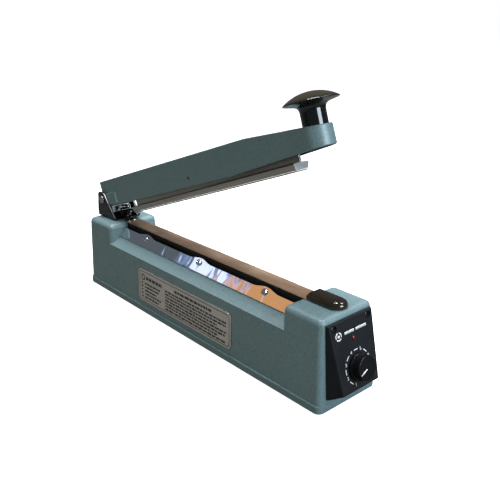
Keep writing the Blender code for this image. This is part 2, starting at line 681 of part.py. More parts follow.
# ---------------------------------------------------------------- hinge on the rear block
def build_hinge():
    x0 = REAR
    base_top = BRACKET_Z + BRACKET_THICKNESS
    plate = box_mesh((x0 + 0.003, -EAR_INNER - 0.001, BRACKET_Z), (x0 + 0.048, EAR_INNER + 0.001, base_top))
    bracket = add("hinge_bracket", plate, black_steel)
    ear = [(x0 + 0.003, BRACKET_Z), (x0 + 0.0465, BRACKET_Z), (x0 + 0.0465, base_top + 0.0008)]
    ear += [(x0 + 0.0215, 0.1255)] + arc((x0 + 0.0175, 0.1232), 0.0036, 40, 95, 3)
    ear += [(x0 + 0.0095, 0.1260), (x0 + 0.0068, 0.1240), (x0 + 0.003, 0.101)]
    for side in (-1, 1):
        inner, outer = side * EAR_INNER, side * (EAR_INNER + EAR_THICKNESS)
        join(bracket, outline_mesh(ear, min(inner, outer), max(inner, outer), "XZ"))
        x, y = BRACKET_SCREWS[0], side * BRACKET_SCREWS[1]
        cut(bracket, cylinder_mesh(0.0019, (x, y, 0.1), (x, y, 0.09), 12))
    cut(bracket, cylinder_mesh(PIN_RADIUS + RUNNING, (HINGE_X, -0.03, HINGE_Z), (HINGE_X, 0.03, HINGE_Z), 24))
    cut(bracket, cylinder_mesh(ROD_RADIUS + RUNNING, (ROD_X, 0, 0.1), (ROD_X, 0, 0.09), 16))
    for side, name in ((-1, "right"), (1, "left")):
        place = (BRACKET_SCREWS[0], side * BRACKET_SCREWS[1], base_top + GAP)
        screw("bracket_screw_" + name, place, (0, 0, 1), 0.003, 0.0016, 0.0016, 0.0058)

    half = EAR_INNER + EAR_THICKNESS
    pin = [(0.0, half + 0.0022), (0.0040, half + 0.0022), (0.0054, half + 0.0014), (0.0054, half + GAP),
           (PIN_RADIUS, half + GAP)]
    pin += [(radius, -height) for radius, height in reversed(pin)]
    pin_object = turned("hinge_pin", pin, steel, None, 24)
    pin_object.matrix_local = Matrix.Translation((HINGE_X, 0, HINGE_Z)) @ Matrix.Rotation(math.pi / 2, 4, "X")

    low = base_top + GAP
    leg = [(x0 + 0.0515, low), (x0 + 0.0575, low), (x0 + 0.0575, low + 0.0015), (x0 + 0.0535, low + 0.005),
           (x0 + 0.0515, low + 0.009), (x0 + 0.050, 0.1095), (x0 + 0.0475, 0.1095)]
    seat = add("spring_bracket", box_mesh((x0 + 0.037, -0.0105, low), (x0 + 0.0575, 0.0105, low + 0.0015)),
               black_steel)
    for side in (-1, 1):
        inner, outer = side * 0.0093, side * 0.0113
        join(seat, outline_mesh(leg, min(inner, outer), max(inner, outer), "XZ"))

    build_return_spring(x0 + 0.044, low + 0.0015 + GAP)


def build_return_spring(x, bottom):
    """A compression coil with closed end turns, between the spring bracket and the arm."""
    top, radius, wire, turns, per_turn = 0.1180, 0.0056, 0.0008, 6.0, 12
    count = int(turns * per_turn)
    curve = bpy.data.curves.new("return_spring", "CURVE")
    curve.dimensions = "3D"
    curve.bevel_depth = wire
    curve.bevel_resolution = 1
    curve.use_fill_caps = True
    spline = curve.splines.new("POLY")
    spline.points.add(count)
    low, high = bottom + wire, top - wire
    for i, point in enumerate(spline.points):
        angle = 2 * math.pi * i / per_turn
        share = min(max((i / per_turn - 1.0) / (turns - 2.0), 0.0), 1.0)
        end_turn = 2.2 * wire * (min(i / per_turn, 1.0) + max(i / per_turn - turns + 1, 0.0))
        z = low + end_turn + share * (high - low - 4.4 * wire)
        point.co = (x + radius * math.cos(angle), radius * math.sin(angle), z, 1.0)
    obj = bpy.data.objects.new("return_spring", curve)
    cutters.objects.link(obj)
    bpy.context.view_layer.update()
    add("return_spring", curve_to_mesh(obj, "return_spring"), steel)


# ---------------------------------------------------------------- arm, in its own flat frame
def arm_top(u):
    """Height of the arm's top surface above the hinge axis."""
    if u <= ARM_KINK[0]:
        share = (u - ARM_REAR) / (ARM_KINK[0] - ARM_REAR)
        return ARM_TOP_REAR + (ARM_KINK[1] - ARM_TOP_REAR) * share
    share = (u - ARM_KINK[0]) / (ARM_TIP - ARM_KINK[0])
    return ARM_KINK[1] + (ARM_TOP_TIP - ARM_KINK[1]) * share


def arm_plan(half, rear, tip, corner):
    """Plan outline with a half-round nose."""
    nose = arc((tip - half, 0), half, -90, 90, 16)
    return nose + arc((rear + corner, half - corner), corner, 90, 180, 3) + arc(
        (rear + corner, -half + corner), corner, 180, 270, 3)


def build_arm(pivot):
    lower_edge = [(ARM_TIP, -0.0125), (0.396, -0.0136), (0.288, -0.0171), (0.190, -0.0155), (0.0654, -0.0136),
                  (0.036, -0.0122), (ARM_REAR, PAD_BOTTOM)]
    upper_edge = [(ARM_REAR, ARM_TOP_REAR), ARM_KINK, (ARM_TIP, ARM_TOP_TIP)]
    side_view = outline_mesh(lower_edge + upper_edge, -ARM_HALF - 0.01, ARM_HALF + 0.01, "XZ")
    arm = add("arm_casting", side_view, paint)
    keep_inside(arm, outline_mesh(arm_plan(ARM_HALF, ARM_REAR, ARM_TIP, 0.002), -0.05, 0.05))
    bevel(arm, 0.0011, 2, 50)
    apply_modifiers(arm)

    # hinge pads, hinge block and heel
    pads = box_mesh((-0.009, -PAD_HALF, PAD_BOTTOM + 0.0003), (0.033, PAD_HALF, 0.0055))
    join(arm, bevelled_mesh(pads, 0.0015, 2))
    lower_block = [(0.0087, 0.0), (-0.014, 0.0), (-0.014, -0.0180), (-0.0082, -0.0201), (0.002, -0.0214),
                   (0.0087, -0.0198)]
    join(arm, outline_mesh(lower_block, -0.014, 0.014, "XZ"))

    # hollow below
    inner_tip = ARM_TIP - ARM_WALL
    hollow = [(HINGE_BLOCK_END, -0.05), (inner_tip, -0.05), (inner_tip, arm_top(inner_tip) - ARM_WALL),
              (ARM_KINK[0], ARM_KINK[1] - ARM_WALL), (HINGE_BLOCK_END, arm_top(HINGE_BLOCK_END) - ARM_WALL)]
    space = add("arm_space", outline_mesh(hollow, -0.05, 0.05, "XZ"))
    keep_inside(space, outline_mesh(arm_plan(ARM_HALF - ARM_WALL, 0.0, inner_tip, 0.001), -0.08, 0.08))
    cut(arm, space.data.copy())
    bpy.data.objects.remove(space, do_unlink=True)
    cut(arm, box_mesh((0.0118, -0.0122, -0.05), (HINGE_BLOCK_END + 0.002, 0.0122, SPRING_SEAT)))

    cut(arm, cylinder_mesh(PIN_RADIUS + RUNNING, (0, -0.05, 0), (0, 0.05, 0), 36))
    pin_u, pin_w = BAR_PIN
    cut(arm, cylinder_mesh(BAR_PIN_RADIUS + GAP, (pin_u, -0.05, pin_w), (pin_u, 0.05, pin_w), 16))
    for side in (-1, 1):
        start = (0.02, side * HINGE_PLATE_SCREW_Y, HINGE_PLATE_SCREW_W)
        end = (0.001, side * HINGE_PLATE_SCREW_Y, HINGE_PLATE_SCREW_W)
        cut(arm, cylinder_mesh(0.0016, start, end, 12))

    # seat for the handle knob and a hole for its stud
    seat = knob_matrix()
    recess = cylinder_mesh(STEM_RADIUS + 0.0004, (0, 0, KNOB_SEAT), (0, 0, KNOB_SEAT + 0.02), 32)
    recess.transform(seat)
    cut(arm, recess)
    hole = cylinder_mesh(0.0033, (0, 0, -0.02), (0, 0, KNOB_SEAT + 0.02), 16)
    hole.transform(seat)
    cut(arm, hole)
    arm.parent = pivot


def knob_matrix():
    return Matrix.Translation((KNOB_U, 0, 0)) @ Matrix.Rotation(KNOB_TILT, 4, "Y")


def build_arm_fittings(pivot):
    plate_rear, plate_front = 0.009, 0.0104
    plate = add("hinge_plate", box_mesh((plate_rear, -0.014, -0.021), (plate_front, 0.014, -0.012)), zinc)
    bevel(plate, 0.0003, 1)
    apply_modifiers(plate)
    for side, name in ((-1, "right"), (1, "left")):
        y, w = side * HINGE_PLATE_SCREW_Y, HINGE_PLATE_SCREW_W
        cut(plate, cylinder_mesh(0.0016, (0, y, w), (0.02, y, w), 12))
        seat = (plate_front + GAP, y, w)
        screw("hinge_plate_screw_" + name, seat, (1, 0, 0), 0.0024, 0.0011, 0.0013, 0.0075, pivot, zinc, 12)
    plate.parent = pivot

    pin_u, pin_w = BAR_PIN
    ends = [(pin_u, side * 0.0142, pin_w) for side in (-1, 1)]
    add("bar_pin", cylinder_mesh(BAR_PIN_RADIUS, *ends, 24), steel, pivot)

    stem_bottom = KNOB_SEAT + GAP
    cap_radius = 0.0415
    rise = CAP_TOP - CAP_RIM
    dome = []
    for i in range(7):
        radius = CAP_RADIUS * i / 6
        drop = cap_radius - math.sqrt(cap_radius ** 2 - radius ** 2)
        full = cap_radius - math.sqrt(cap_radius ** 2 - CAP_RADIUS ** 2)
        dome.append((radius, CAP_TOP - rise * drop / full))
    under = [(0.0252, CAP_RIM - 0.0007), (0.0205, CAP_RIM - 0.0016), (0.0158, CAP_RIM - 0.0030),
             (0.0132, CAP_RIM - 0.0052), (0.0122, CAP_RIM - 0.0080)]
    stem = [(STEM_RADIUS, stem_bottom), (0.0033, stem_bottom), (0.0033, 0.0210), (0.0, 0.0210)]
    knob = turned("handle_knob", dome + under + stem, gloss_black, pivot, 36)
    knob.matrix_local = knob_matrix()
    stud = [(0.0, 0.0205), (0.003, 0.0205), (0.003, -0.0016), (0.0062, -0.0016), (0.0062, -0.0052),
            (0.0, -0.0052)]
    stud_object = turned("knob_stud", stud, steel, pivot, 16)
    stud_object.matrix_local = knob_matrix()


def build_pressure_bar(pivot):
    pin_u, pin_w = BAR_PIN
    axis = empty("pressure_bar_axis", Matrix.Translation((pin_u, 0, pin_w)), pivot)
    half = [(WEB_HALF, -0.012), (WEB_HALF, BAR_TOP + 0.0004), (0.0092, BAR_TOP), (0.0100, BAR_TOP - 0.0008),
            (0.0080, BAR_BOTTOM)]
    section = half + [(-y, w) for y, w in reversed(half)]
    bar = add("pressure_bar", outline_mesh(section, BAR_REAR, BAR_FRONT, "YZ"), aluminium)
    lug = [(pin_u - 0.030, -0.013), (pin_u + 0.030, -0.013), (pin_u + 0.012, -0.002), (pin_u + 0.006, 0.0),
           (pin_u - 0.006, 0.0), (pin_u - 0.012, -0.002)]
    lug_half = WEB_HALF + 0.0004
    join(bar, outline_mesh(lug, -lug_half, lug_half, "XZ"))
    cut(bar, cylinder_mesh(BAR_PIN_RADIUS + RUNNING, (pin_u, -0.05, pin_w), (pin_u, 0.05, pin_w), 24))
    strip_half = [(0.0075, BAR_BOTTOM - GAP), (0.0075, SILICONE_BOTTOM + 0.0005), (0.0068, SILICONE_BOTTOM)]
    strip_section = strip_half + [(-y, w) for y, w in reversed(strip_half)]
    strip_mesh = outline_mesh(strip_section, BAR_REAR + 0.0005, BAR_FRONT - 0.0005, "YZ")
    strip = add("silicone_strip", strip_mesh, silicone)
    for obj in (bar, strip):
        obj.data.transform(Matrix.Translation((-pin_u, 0, -pin_w)))
        obj.parent = axis


# ---------------------------------------------------------------- nameplate and rear fittings
def build_outside_fittings():
    low, high = (REAR + 0.131, 0.0), (REAR + 0.317, 0.043)
    plate = add("nameplate", outline_mesh(rounded_rectangle(low, high, 0.006, 4), 0, 0.0004), foil)
    bottom_z = 0.0125
    lean = math.atan2(SIDE_DRAFT, BLOCK_TOP - RIM_TOP)
    rotation = Matrix.Rotation(math.pi / 2 - lean, 4, "X")
    place = Matrix.Translation((0, -side_wall_y(bottom_z) - GAP, bottom_z))
    plate.data.transform(place @ rotation)

    grommet = [(0.0035, 0.0032), (0.0062, 0.0032), (0.0078, 0.0020), (0.0078, 0.0006),
               (GROMMET_RADIUS, 0.0006), (GROMMET_RADIUS, -0.0060), (0.0072, -0.0060), (0.0072, -0.0085), (0.0035, -0.0085),
               (0.0035, 0.0032)]
    rear_x = -front_wall_x(REAR_FITTING_Z)
    to_rear = Matrix.Rotation(-math.pi / 2, 4, "Y")
    grommet_object = turned("cord_grommet", grommet, rubber, None, 24)
    grommet_object.matrix_local = Matrix.Translation((rear_x, GROMMET_Y, REAR_FITTING_Z)) @ to_rear
    fuse = [(0.0, 0.0085), (0.0050, 0.0085), (0.0058, 0.0078), (0.0058, 0.0030), (0.0084, 0.0026),
            (0.0084, 0.0006), (FUSE_RADIUS, 0.0006), (FUSE_RADIUS, -0.030), (0.0, -0.030)]
    fuse_object = turned("fuse_holder", fuse, black_plastic, None, 24)
    fuse_object.matrix_local = Matrix.Translation((rear_x, -GROMMET_Y, REAR_FITTING_Z)) @ to_rear


# ---------------------------------------------------------------- inside the base
def build_electrics():
    floor = PLATE_THICKNESS + GAP
    x0, x1 = REAR + 0.085, REAR + 0.145
    half, bottom, top = 0.019, floor + 0.0018, floor + 0.0498
    core = add("transformer_core", box_mesh((x0, -half, bottom), (x1, half, top)), steel)
    windows = []
    leg, window = 0.010, 0.010
    for start in (x0 + leg, x1 - leg - window):
        windows.append((start, start + window))
        cut(core, box_mesh((start, -1, bottom + leg), (start + window, 1, top - leg)))
    inner_low, inner_high = windows[0][1] + GAP + 0.0002, windows[1][0] - GAP - 0.0002
    reach = 0.0078
    outer_low = (inner_low - reach, -half - reach, bottom + leg + GAP)
    outer_high = (inner_high + reach, half + reach, top - leg - GAP)
    coil_outer = bevelled_mesh(box_mesh(outer_low, outer_high), 0.002, 2)
    coil = add("transformer_winding", coil_outer, copper)
    leg_low, leg_high = windows[0][1], windows[1][0]
    cut(coil, box_mesh((leg_low - GAP, -half - GAP, bottom), (leg_high + GAP, half + GAP, top)))

    strap = [(x0 - 0.013, floor), (x0 - GAP, floor), (x0 - GAP, top + GAP), (x1 + GAP, top + GAP),
             (x1 + GAP, floor), (x1 + 0.013, floor), (x1 + 0.013, floor + 0.0014), (x1 + 0.0015, floor + 0.0014),
             (x1 + 0.0015, top + 0.0015), (x0 - 0.0015, top + 0.0015), (x0 - 0.0015, floor + 0.0014),
             (x0 - 0.013, floor + 0.0014)]
    add("transformer_strap", outline_mesh(strap, -0.012, 0.012, "XZ"), zinc)

    board_x0, board_x1, board_z = REAR + 0.330, REAR + 0.395, 0.012
    board_mesh = box_mesh((board_x0, -0.026, board_z), (board_x1, 0.026, board_z + 0.0016))
    board = add("timer_board", board_mesh, board_green)
    for x in (board_x0 + 0.004, board_x1 - 0.004):
        for y in (-0.022, 0.022):
            post = cylinder_mesh(0.0025, (x, y, floor), (x, y, board_z + 0.0008), 10)
            join(board, post)
    on_board = board_z + 0.0016 + GAP
    relay = box_mesh((board_x0 + 0.010, -0.018, on_board), (board_x0 + 0.029, -0.003, on_board + 0.0155))
    bevel(add("board_relay", relay, black_plastic), 0.0006, 1)
    can = [(0.0, 0.020), (0.0045, 0.020), (0.005, 0.0194), (0.005, 0.0), (0.0, 0.0)]
    capacitor = turned("board_capacitor", can, aluminium, None, 16)
    capacitor.location = (board_x0 + 0.045, 0.010, on_board)


def build_switch():
    pivot_x, pivot_z = LEVER_PIVOT
    body = box_mesh((pivot_x - 0.022, -0.0032, pivot_z - 0.0115), (pivot_x - 0.002, 0.0032, pivot_z - 0.0018))
    bevel(add("microswitch", body, phenolic), 0.0004, 1)

    holder = add("switch_bracket", box_mesh((pivot_x - 0.024, 0.0036, pivot_z - 0.0115),
                                            (pivot_x - 0.001, 0.0048, 0.0885)), zinc)
    join(holder, box_mesh((pivot_x - 0.024, 0.0040, 0.0873), (pivot_x - 0.001, 0.0140, 0.0885)))

    place = Matrix.Translation((pivot_x, 0, pivot_z))
    axis = empty("switch_lever_axis", place @ Matrix.Rotation(LEVER_ANGLE, 4, "Y"))
    lever = add("switch_lever", box_mesh((-0.0155, -0.002, -0.0002), (0.0, 0.002, 0.0002)), steel, axis)
    join(lever, cylinder_mesh(0.0009, (0, -0.003, 0), (0, 0.003, 0), 12))

    rod = [(0.0, ROD_TOP), (0.0034, ROD_TOP), (0.0036, ROD_TOP - 0.0002), (0.0036, ROD_TOP - 0.0009),
           (ROD_RADIUS, ROD_TOP - 0.0009), (ROD_RADIUS, ROD_BOTTOM + 0.0005), (0.0014, ROD_BOTTOM),
           (0.0, ROD_BOTTOM)]
    rod_object = turned("switch_rod", rod, steel, None, 16)
    rod_object.location = (ROD_X, 0, 0)


# ---------------------------------------------------------------- assembly
def main():
    build_base_casting()
    build_underside()
    build_sealing_parts()
    build_terminal_cover()
    build_console()
    build_timer()
    build_hinge()
    hinge_place = Matrix.Translation((HINGE_X, 0, HINGE_Z))
    pivot = empty("arm_pivot", hinge_place @ Matrix.Rotation(-OPEN_ANGLE, 4, "Y"))
    build_arm(pivot)
    build_arm_fittings(pivot)
    build_pressure_bar(pivot)
    build_outside_fittings()
    build_electrics()
    build_switch()
    model = empty("model_origin", Matrix.Translation(MODEL_SHIFT))
    for obj in parts.objects:
        if obj.parent is None and obj is not model:
            obj.parent = model
        if obj.type == "MESH":
            obj.data.shade_smooth()
            obj.data.set_sharp_from_angle(angle=math.radians(35))


main()
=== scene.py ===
"""Impulse heat sealer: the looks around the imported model, in metres, +X to the dial, +Z up."""
import json
import math
import random

import bmesh
import bpy
from mathutils import Matrix, Vector


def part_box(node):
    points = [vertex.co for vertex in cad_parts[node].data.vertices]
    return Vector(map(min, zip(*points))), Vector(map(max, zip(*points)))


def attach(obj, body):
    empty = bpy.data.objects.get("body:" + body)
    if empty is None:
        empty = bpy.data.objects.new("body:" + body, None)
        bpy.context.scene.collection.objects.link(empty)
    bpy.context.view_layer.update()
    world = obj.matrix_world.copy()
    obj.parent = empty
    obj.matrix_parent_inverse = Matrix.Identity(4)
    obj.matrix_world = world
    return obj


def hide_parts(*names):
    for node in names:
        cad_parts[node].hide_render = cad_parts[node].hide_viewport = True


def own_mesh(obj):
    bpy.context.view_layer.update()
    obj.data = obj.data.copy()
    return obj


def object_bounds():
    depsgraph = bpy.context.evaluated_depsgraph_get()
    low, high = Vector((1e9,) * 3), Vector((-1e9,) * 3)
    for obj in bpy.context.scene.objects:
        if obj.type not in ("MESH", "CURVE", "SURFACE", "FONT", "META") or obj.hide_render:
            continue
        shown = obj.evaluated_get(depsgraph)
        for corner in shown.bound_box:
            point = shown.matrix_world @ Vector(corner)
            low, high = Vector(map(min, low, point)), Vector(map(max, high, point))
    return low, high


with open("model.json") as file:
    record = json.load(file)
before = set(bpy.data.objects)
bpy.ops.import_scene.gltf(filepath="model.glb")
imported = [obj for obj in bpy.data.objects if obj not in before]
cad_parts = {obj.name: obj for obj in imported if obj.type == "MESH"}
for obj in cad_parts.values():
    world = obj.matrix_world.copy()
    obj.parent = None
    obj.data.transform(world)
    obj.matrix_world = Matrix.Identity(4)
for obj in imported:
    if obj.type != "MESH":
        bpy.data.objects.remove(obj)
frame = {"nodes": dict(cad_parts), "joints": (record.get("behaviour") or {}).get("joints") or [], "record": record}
cad_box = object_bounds()
joints = {joint["name"]: joint for joint in frame["joints"]}

# ---------------------------------------------------------------- driving places and sizes
OPEN_ANGLE = math.radians(19.5)
HINGE = Vector(joints["arm_hinge"]["pos_m"])
ARM_FRAME = Matrix.Translation(HINGE) @ Matrix.Rotation(-OPEN_ANGLE, 4, "Y")

DIAL_CENTRE = Vector(joints["timer_turn"]["pos_m"])
FACE_OUT = -Vector(joints["timer_turn"]["axis"]).normalized()
FACE_RIGHT = Vector((0, 1, 0))
FACE_UP = FACE_OUT.cross(FACE_RIGHT).normalized()
FACE_FRAME = Matrix.Translation(DIAL_CENTRE) @ Matrix((FACE_RIGHT, FACE_UP, FACE_OUT)).transposed().to_4x4()
FACE_TOP_TO_DIAL = 0.049

# middle of the bottom plate's underside, from which the body's own sizes are measured
BODY_ORIGIN = HINGE - Vector((-0.208, 0.0, 0.117))


# ---------------------------------------------------------------- materials
def new_material(name, colour, roughness, metallic=0.0, **sockets):
    """A Principled material; further keywords set sockets of the same name."""
    material = bpy.data.materials.new(name)
    material.use_nodes = True
    shader = material.node_tree.nodes["Principled BSDF"]
    shader.inputs["Base Color"].default_value = (*colour, 1.0)
    shader.inputs["Roughness"].default_value = roughness
    shader.inputs["Metallic"].default_value = metallic
    for socket, value in sockets.items():
        shader.inputs[socket.replace("_", " ")].default_value = value
    return material


def texture(material, kind, scale, stretch=(1, 1, 1), **settings):
    """A 3-D texture over the object's own coordinates; stretch scales each axis."""
    tree = material.node_tree
    coordinates = tree.nodes.new("ShaderNodeTexCoord")
    mapping = tree.nodes.new("ShaderNodeMapping")
    mapping.inputs["Scale"].default_value = stretch
    node = tree.nodes.new("ShaderNodeTex" + kind)
    node.inputs["Scale"].default_value = scale
    for key, value in settings.items():
        if key.islower():
            setattr(node, key, value)
        else:
            node.inputs[key.replace("_", " ")].default_value = value
    tree.links.new(coordinates.outputs["Object"], mapping.inputs["Vector"])
    tree.links.new(mapping.outputs["Vector"], node.inputs["Vector"])
    return node


def ramp(material, source, stops):
    """A colour ramp fed by source; stops are (position, colour or grey)."""
    tree = material.node_tree
    node = tree.nodes.new("ShaderNodeValToRGB")
    elements = node.color_ramp.elements
    while len(elements) < len(stops):
        elements.new(0.5)
    for element, (position, colour) in zip(elements, stops):
        element.position = position
        element.color = (*colour, 1.0) if isinstance(colour, tuple) else (colour, colour, colour, 1.0)
    tree.links.new(source, node.inputs["Fac"])
    return node.outputs["Color"]


def link_to_shader(material, source, socket):
    shader = material.node_tree.nodes["Principled BSDF"]
    material.node_tree.links.new(source, shader.inputs[socket])


def add_bump(material, source, strength, distance):
    """One more layer of relief, on top of any the material has."""
    tree = material.node_tree
    shader = tree.nodes["Principled BSDF"]
    node = tree.nodes.new("ShaderNodeBump")
    node.inputs["Strength"].default_value = strength
    node.inputs["Distance"].default_value = distance
    tree.links.new(source, node.inputs["Height"])
    if shader.inputs["Normal"].is_linked:
        tree.links.new(shader.inputs["Normal"].links[0].from_socket, node.inputs["Normal"])
    tree.links.new(node.outputs["Normal"], shader.inputs["Normal"])


def mottled(material, colours, scale, stretch=(1, 1, 1)):
    noise = texture(material, "Noise", scale, stretch, Detail=3.0)
    low, high = colours
    link_to_shader(material, ramp(material, noise.outputs["Fac"], [(0.3, low), (0.7, high)]), "Base Color")


def uneven_gloss(material, low, high, scale, stretch=(1, 1, 1)):
    noise = texture(material, "Noise", scale, stretch, Detail=4.0)
    link_to_shader(material, ramp(material, noise.outputs["Fac"], [(0.3, low), (0.75, high)]), "Roughness")


def mix_colours(tree, share, source, colour):
    """A colour source that turns into a plain colour as share goes from 0 to 1."""
    mix = tree.nodes.new("ShaderNodeMix")
    mix.data_type = "RGBA"
    first, second = [socket for socket in mix.inputs if socket.type == "RGBA"]
    tree.links.new(share, mix.inputs["Factor"])
    tree.links.new(source, first)
    second.default_value = colour
    return [socket for socket in mix.outputs if socket.type == "RGBA"][0]


def make_hammertone():
    """Hammered enamel: small raised cells, paler on their crowns, with fine bright specks for the paint's flakes,
    partly a painted sparkle.
    """
    material = new_material("hammertone_paint", (0.12, 0.18, 0.19), 0.45, 0.1, Coat_Weight=0.06,
                            Coat_Roughness=0.3)
    cells = texture(material, "Voronoi", 560.0, Detail=0.0, feature="SMOOTH_F1", Smoothness=0.65)
    base = ramp(material, cells.outputs["Distance"],
                [(0.0, (0.142, 0.214, 0.224)), (0.45, (0.122, 0.186, 0.194)), (0.9, (0.094, 0.15, 0.157))])
    # pale specks: the paint's flakes, partly a painted sparkle
    specks = texture(material, "Noise", 1500.0, Detail=1.0)
    shine = ramp(material, specks.outputs["Fac"], [(0.66, 0.0), (0.74, 1.0)])
    speckled_with_painted_sparkle = mix_colours(material.node_tree, shine, base, (0.24, 0.33, 0.34, 1.0))
    link_to_shader(material, speckled_with_painted_sparkle, "Base Color")
    add_bump(material, cells.outputs["Distance"], 0.25, 0.00016)
    waves = texture(material, "Noise", 70.0, Detail=2.0)
    add_bump(material, waves.outputs["Fac"], 0.15, 0.0006)
    uneven_gloss(material, 0.4, 0.52, 45.0)
    return material


def make_plastic(name, colours, gloss, grain, grain_depth, **sockets):
    material = new_material(name, colours[0], gloss[0], **sockets)
    mottled(material, colours, 60.0)
    uneven_gloss(material, *gloss, 120.0)
    noise = texture(material, "Noise", grain, Detail=5.0)
    add_bump(material, noise.outputs["Fac"], 0.25, grain_depth)
    return material


def make_handle_plastic():
    """Deep black below the cap's rim; the crown is painted brown, a painted warm reflection."""
    black = ((0.003, 0.003, 0.0035), (0.005, 0.005, 0.006))
    material = make_plastic("handle_black", black, (0.06, 0.14), 300.0, 0.00001, Specular_IOR_Level=0.6)
    tree = material.node_tree
    colour = tree.nodes["Principled BSDF"].inputs["Base Color"].links[0].from_socket
    coordinates = tree.nodes.new("ShaderNodeTexCoord")
    axes = tree.nodes.new("ShaderNodeSeparateXYZ")
    crown = tree.nodes.new("ShaderNodeMapRange")
    black_below, brown_above = 0.0285, 0.0325
    crown.inputs["From Min"].default_value = black_below
    crown.inputs["From Max"].default_value = brown_above
    tree.links.new(coordinates.outputs["Object"], axes.inputs["Vector"])
    tree.links.new(axes.outputs["Z"], crown.inputs["Value"])
    # brown on the crown above black_below: a painted warm reflection
    crown_with_painted_reflection = mix_colours(tree, crown.outputs["Result"], colour, (0.024, 0.018, 0.009, 1.0))
    link_to_shader(material, crown_with_painted_reflection, "Base Color")
    return material


def make_metal(name, colours, gloss, stretch, scale, depth):
    """A metal with drawn or ground streaks; stretch is small along the streaks."""
    material = new_material(name, colours[0], gloss[0], 1.0)
    mottled(material, colours, scale, stretch)
    uneven_gloss(material, *gloss, scale * 1.4, stretch)
    noise = texture(material, "Noise", scale * 3.0, stretch, Detail=6.0)
    add_bump(material, noise.outputs["Fac"], 0.3, depth)
    return material


def make_aluminium():
    """Drawn aluminium bar, dull along its length; the faces that look along the bar, its sawn ends, get a paler
    colour, a painted highlight.
    """
    sides = ((0.34, 0.31, 0.275), (0.46, 0.42, 0.38))
    material = make_metal("extruded_aluminium", sides, (0.28, 0.44), (0.02, 1, 1), 420.0, 0.00006)
    tree = material.node_tree
    colour = tree.nodes["Principled BSDF"].inputs["Base Color"].links[0].from_socket
    coordinates = tree.nodes.new("ShaderNodeTexCoord")
    axes = tree.nodes.new("ShaderNodeSeparateXYZ")
    tree.links.new(coordinates.outputs["Normal"], axes.inputs["Vector"])
    # paler colour on faces that look along the bar: a painted highlight
    ends = ramp(material, axes.outputs["X"], [(0.8, 0.0), (0.9, 1.0)])
    ends_with_painted_highlight = mix_colours(tree, ends, colour, (0.46, 0.455, 0.455, 1.0))
    link_to_shader(material, ends_with_painted_highlight, "Base Color")
    return material


def make_chrome():
    """Polished sheet: mirror-like, with slow waves that bend what it reflects."""
    material = new_material("polished_chrome", (0.8, 0.82, 0.85), 0.05, 1.0)
    mottled(material, ((0.78, 0.8, 0.84), (0.84, 0.85, 0.87)), 20.0, (0.25, 1, 1))
    uneven_gloss(material, 0.04, 0.09, 60.0)
    waves = texture(material, "Noise", 60.0, (1, 0.5, 0.5), Detail=0.4, Distortion=0.8)
    add_bump(material, waves.outputs["Fac"], 0.6, 0.0007)
    return material


def make_tape_cloth():
    material = new_material("ptfe_cloth", (0.19, 0.12, 0.07), 0.42, Sheen_Weight=0.1)
    patches = texture(material, "Noise", 90.0, (0.35, 1, 1), Detail=5.0)
    browns = [(0.25, (0.13, 0.069, 0.034)), (0.55, (0.205, 0.118, 0.063)), (0.8, (0.28, 0.172, 0.098))]
    link_to_shader(material, ramp(material, patches.outputs["Fac"], browns), "Base Color")
    for direction in ("X", "Y"):
        weave = texture(material, "Wave", 330.0, wave_type="BANDS", bands_direction=direction,
                        Distortion=0.3)
        add_bump(material, weave.outputs["Fac"], 0.2, 0.00006)
    creases = texture(material, "Noise", 40.0, (0.6, 1, 1), Detail=2.0)
    add_bump(material, creases.outputs["Fac"], 0.35, 0.0008)
    uneven_gloss(material, 0.3, 0.55, 70.0)
    return material


def make_winding():
    material = new_material("enamelled_copper", (0.45, 0.16, 0.06), 0.3, 0.7, Coat_Weight=0.4)
    turns = texture(material, "Wave", 250.0, wave_type="BANDS", bands_direction="Z", Distortion=0.1)
    # darker bands in the grooves between the turns: painted shade
    colour = ramp(material, turns.outputs["Fac"], [(0.0, (0.22, 0.07, 0.03)), (0.6, (0.55, 0.2, 0.08))])
    link_to_shader(material, colour, "Base Color")
    add_bump(material, turns.outputs["Fac"], 0.6, 0.0003)
    return material


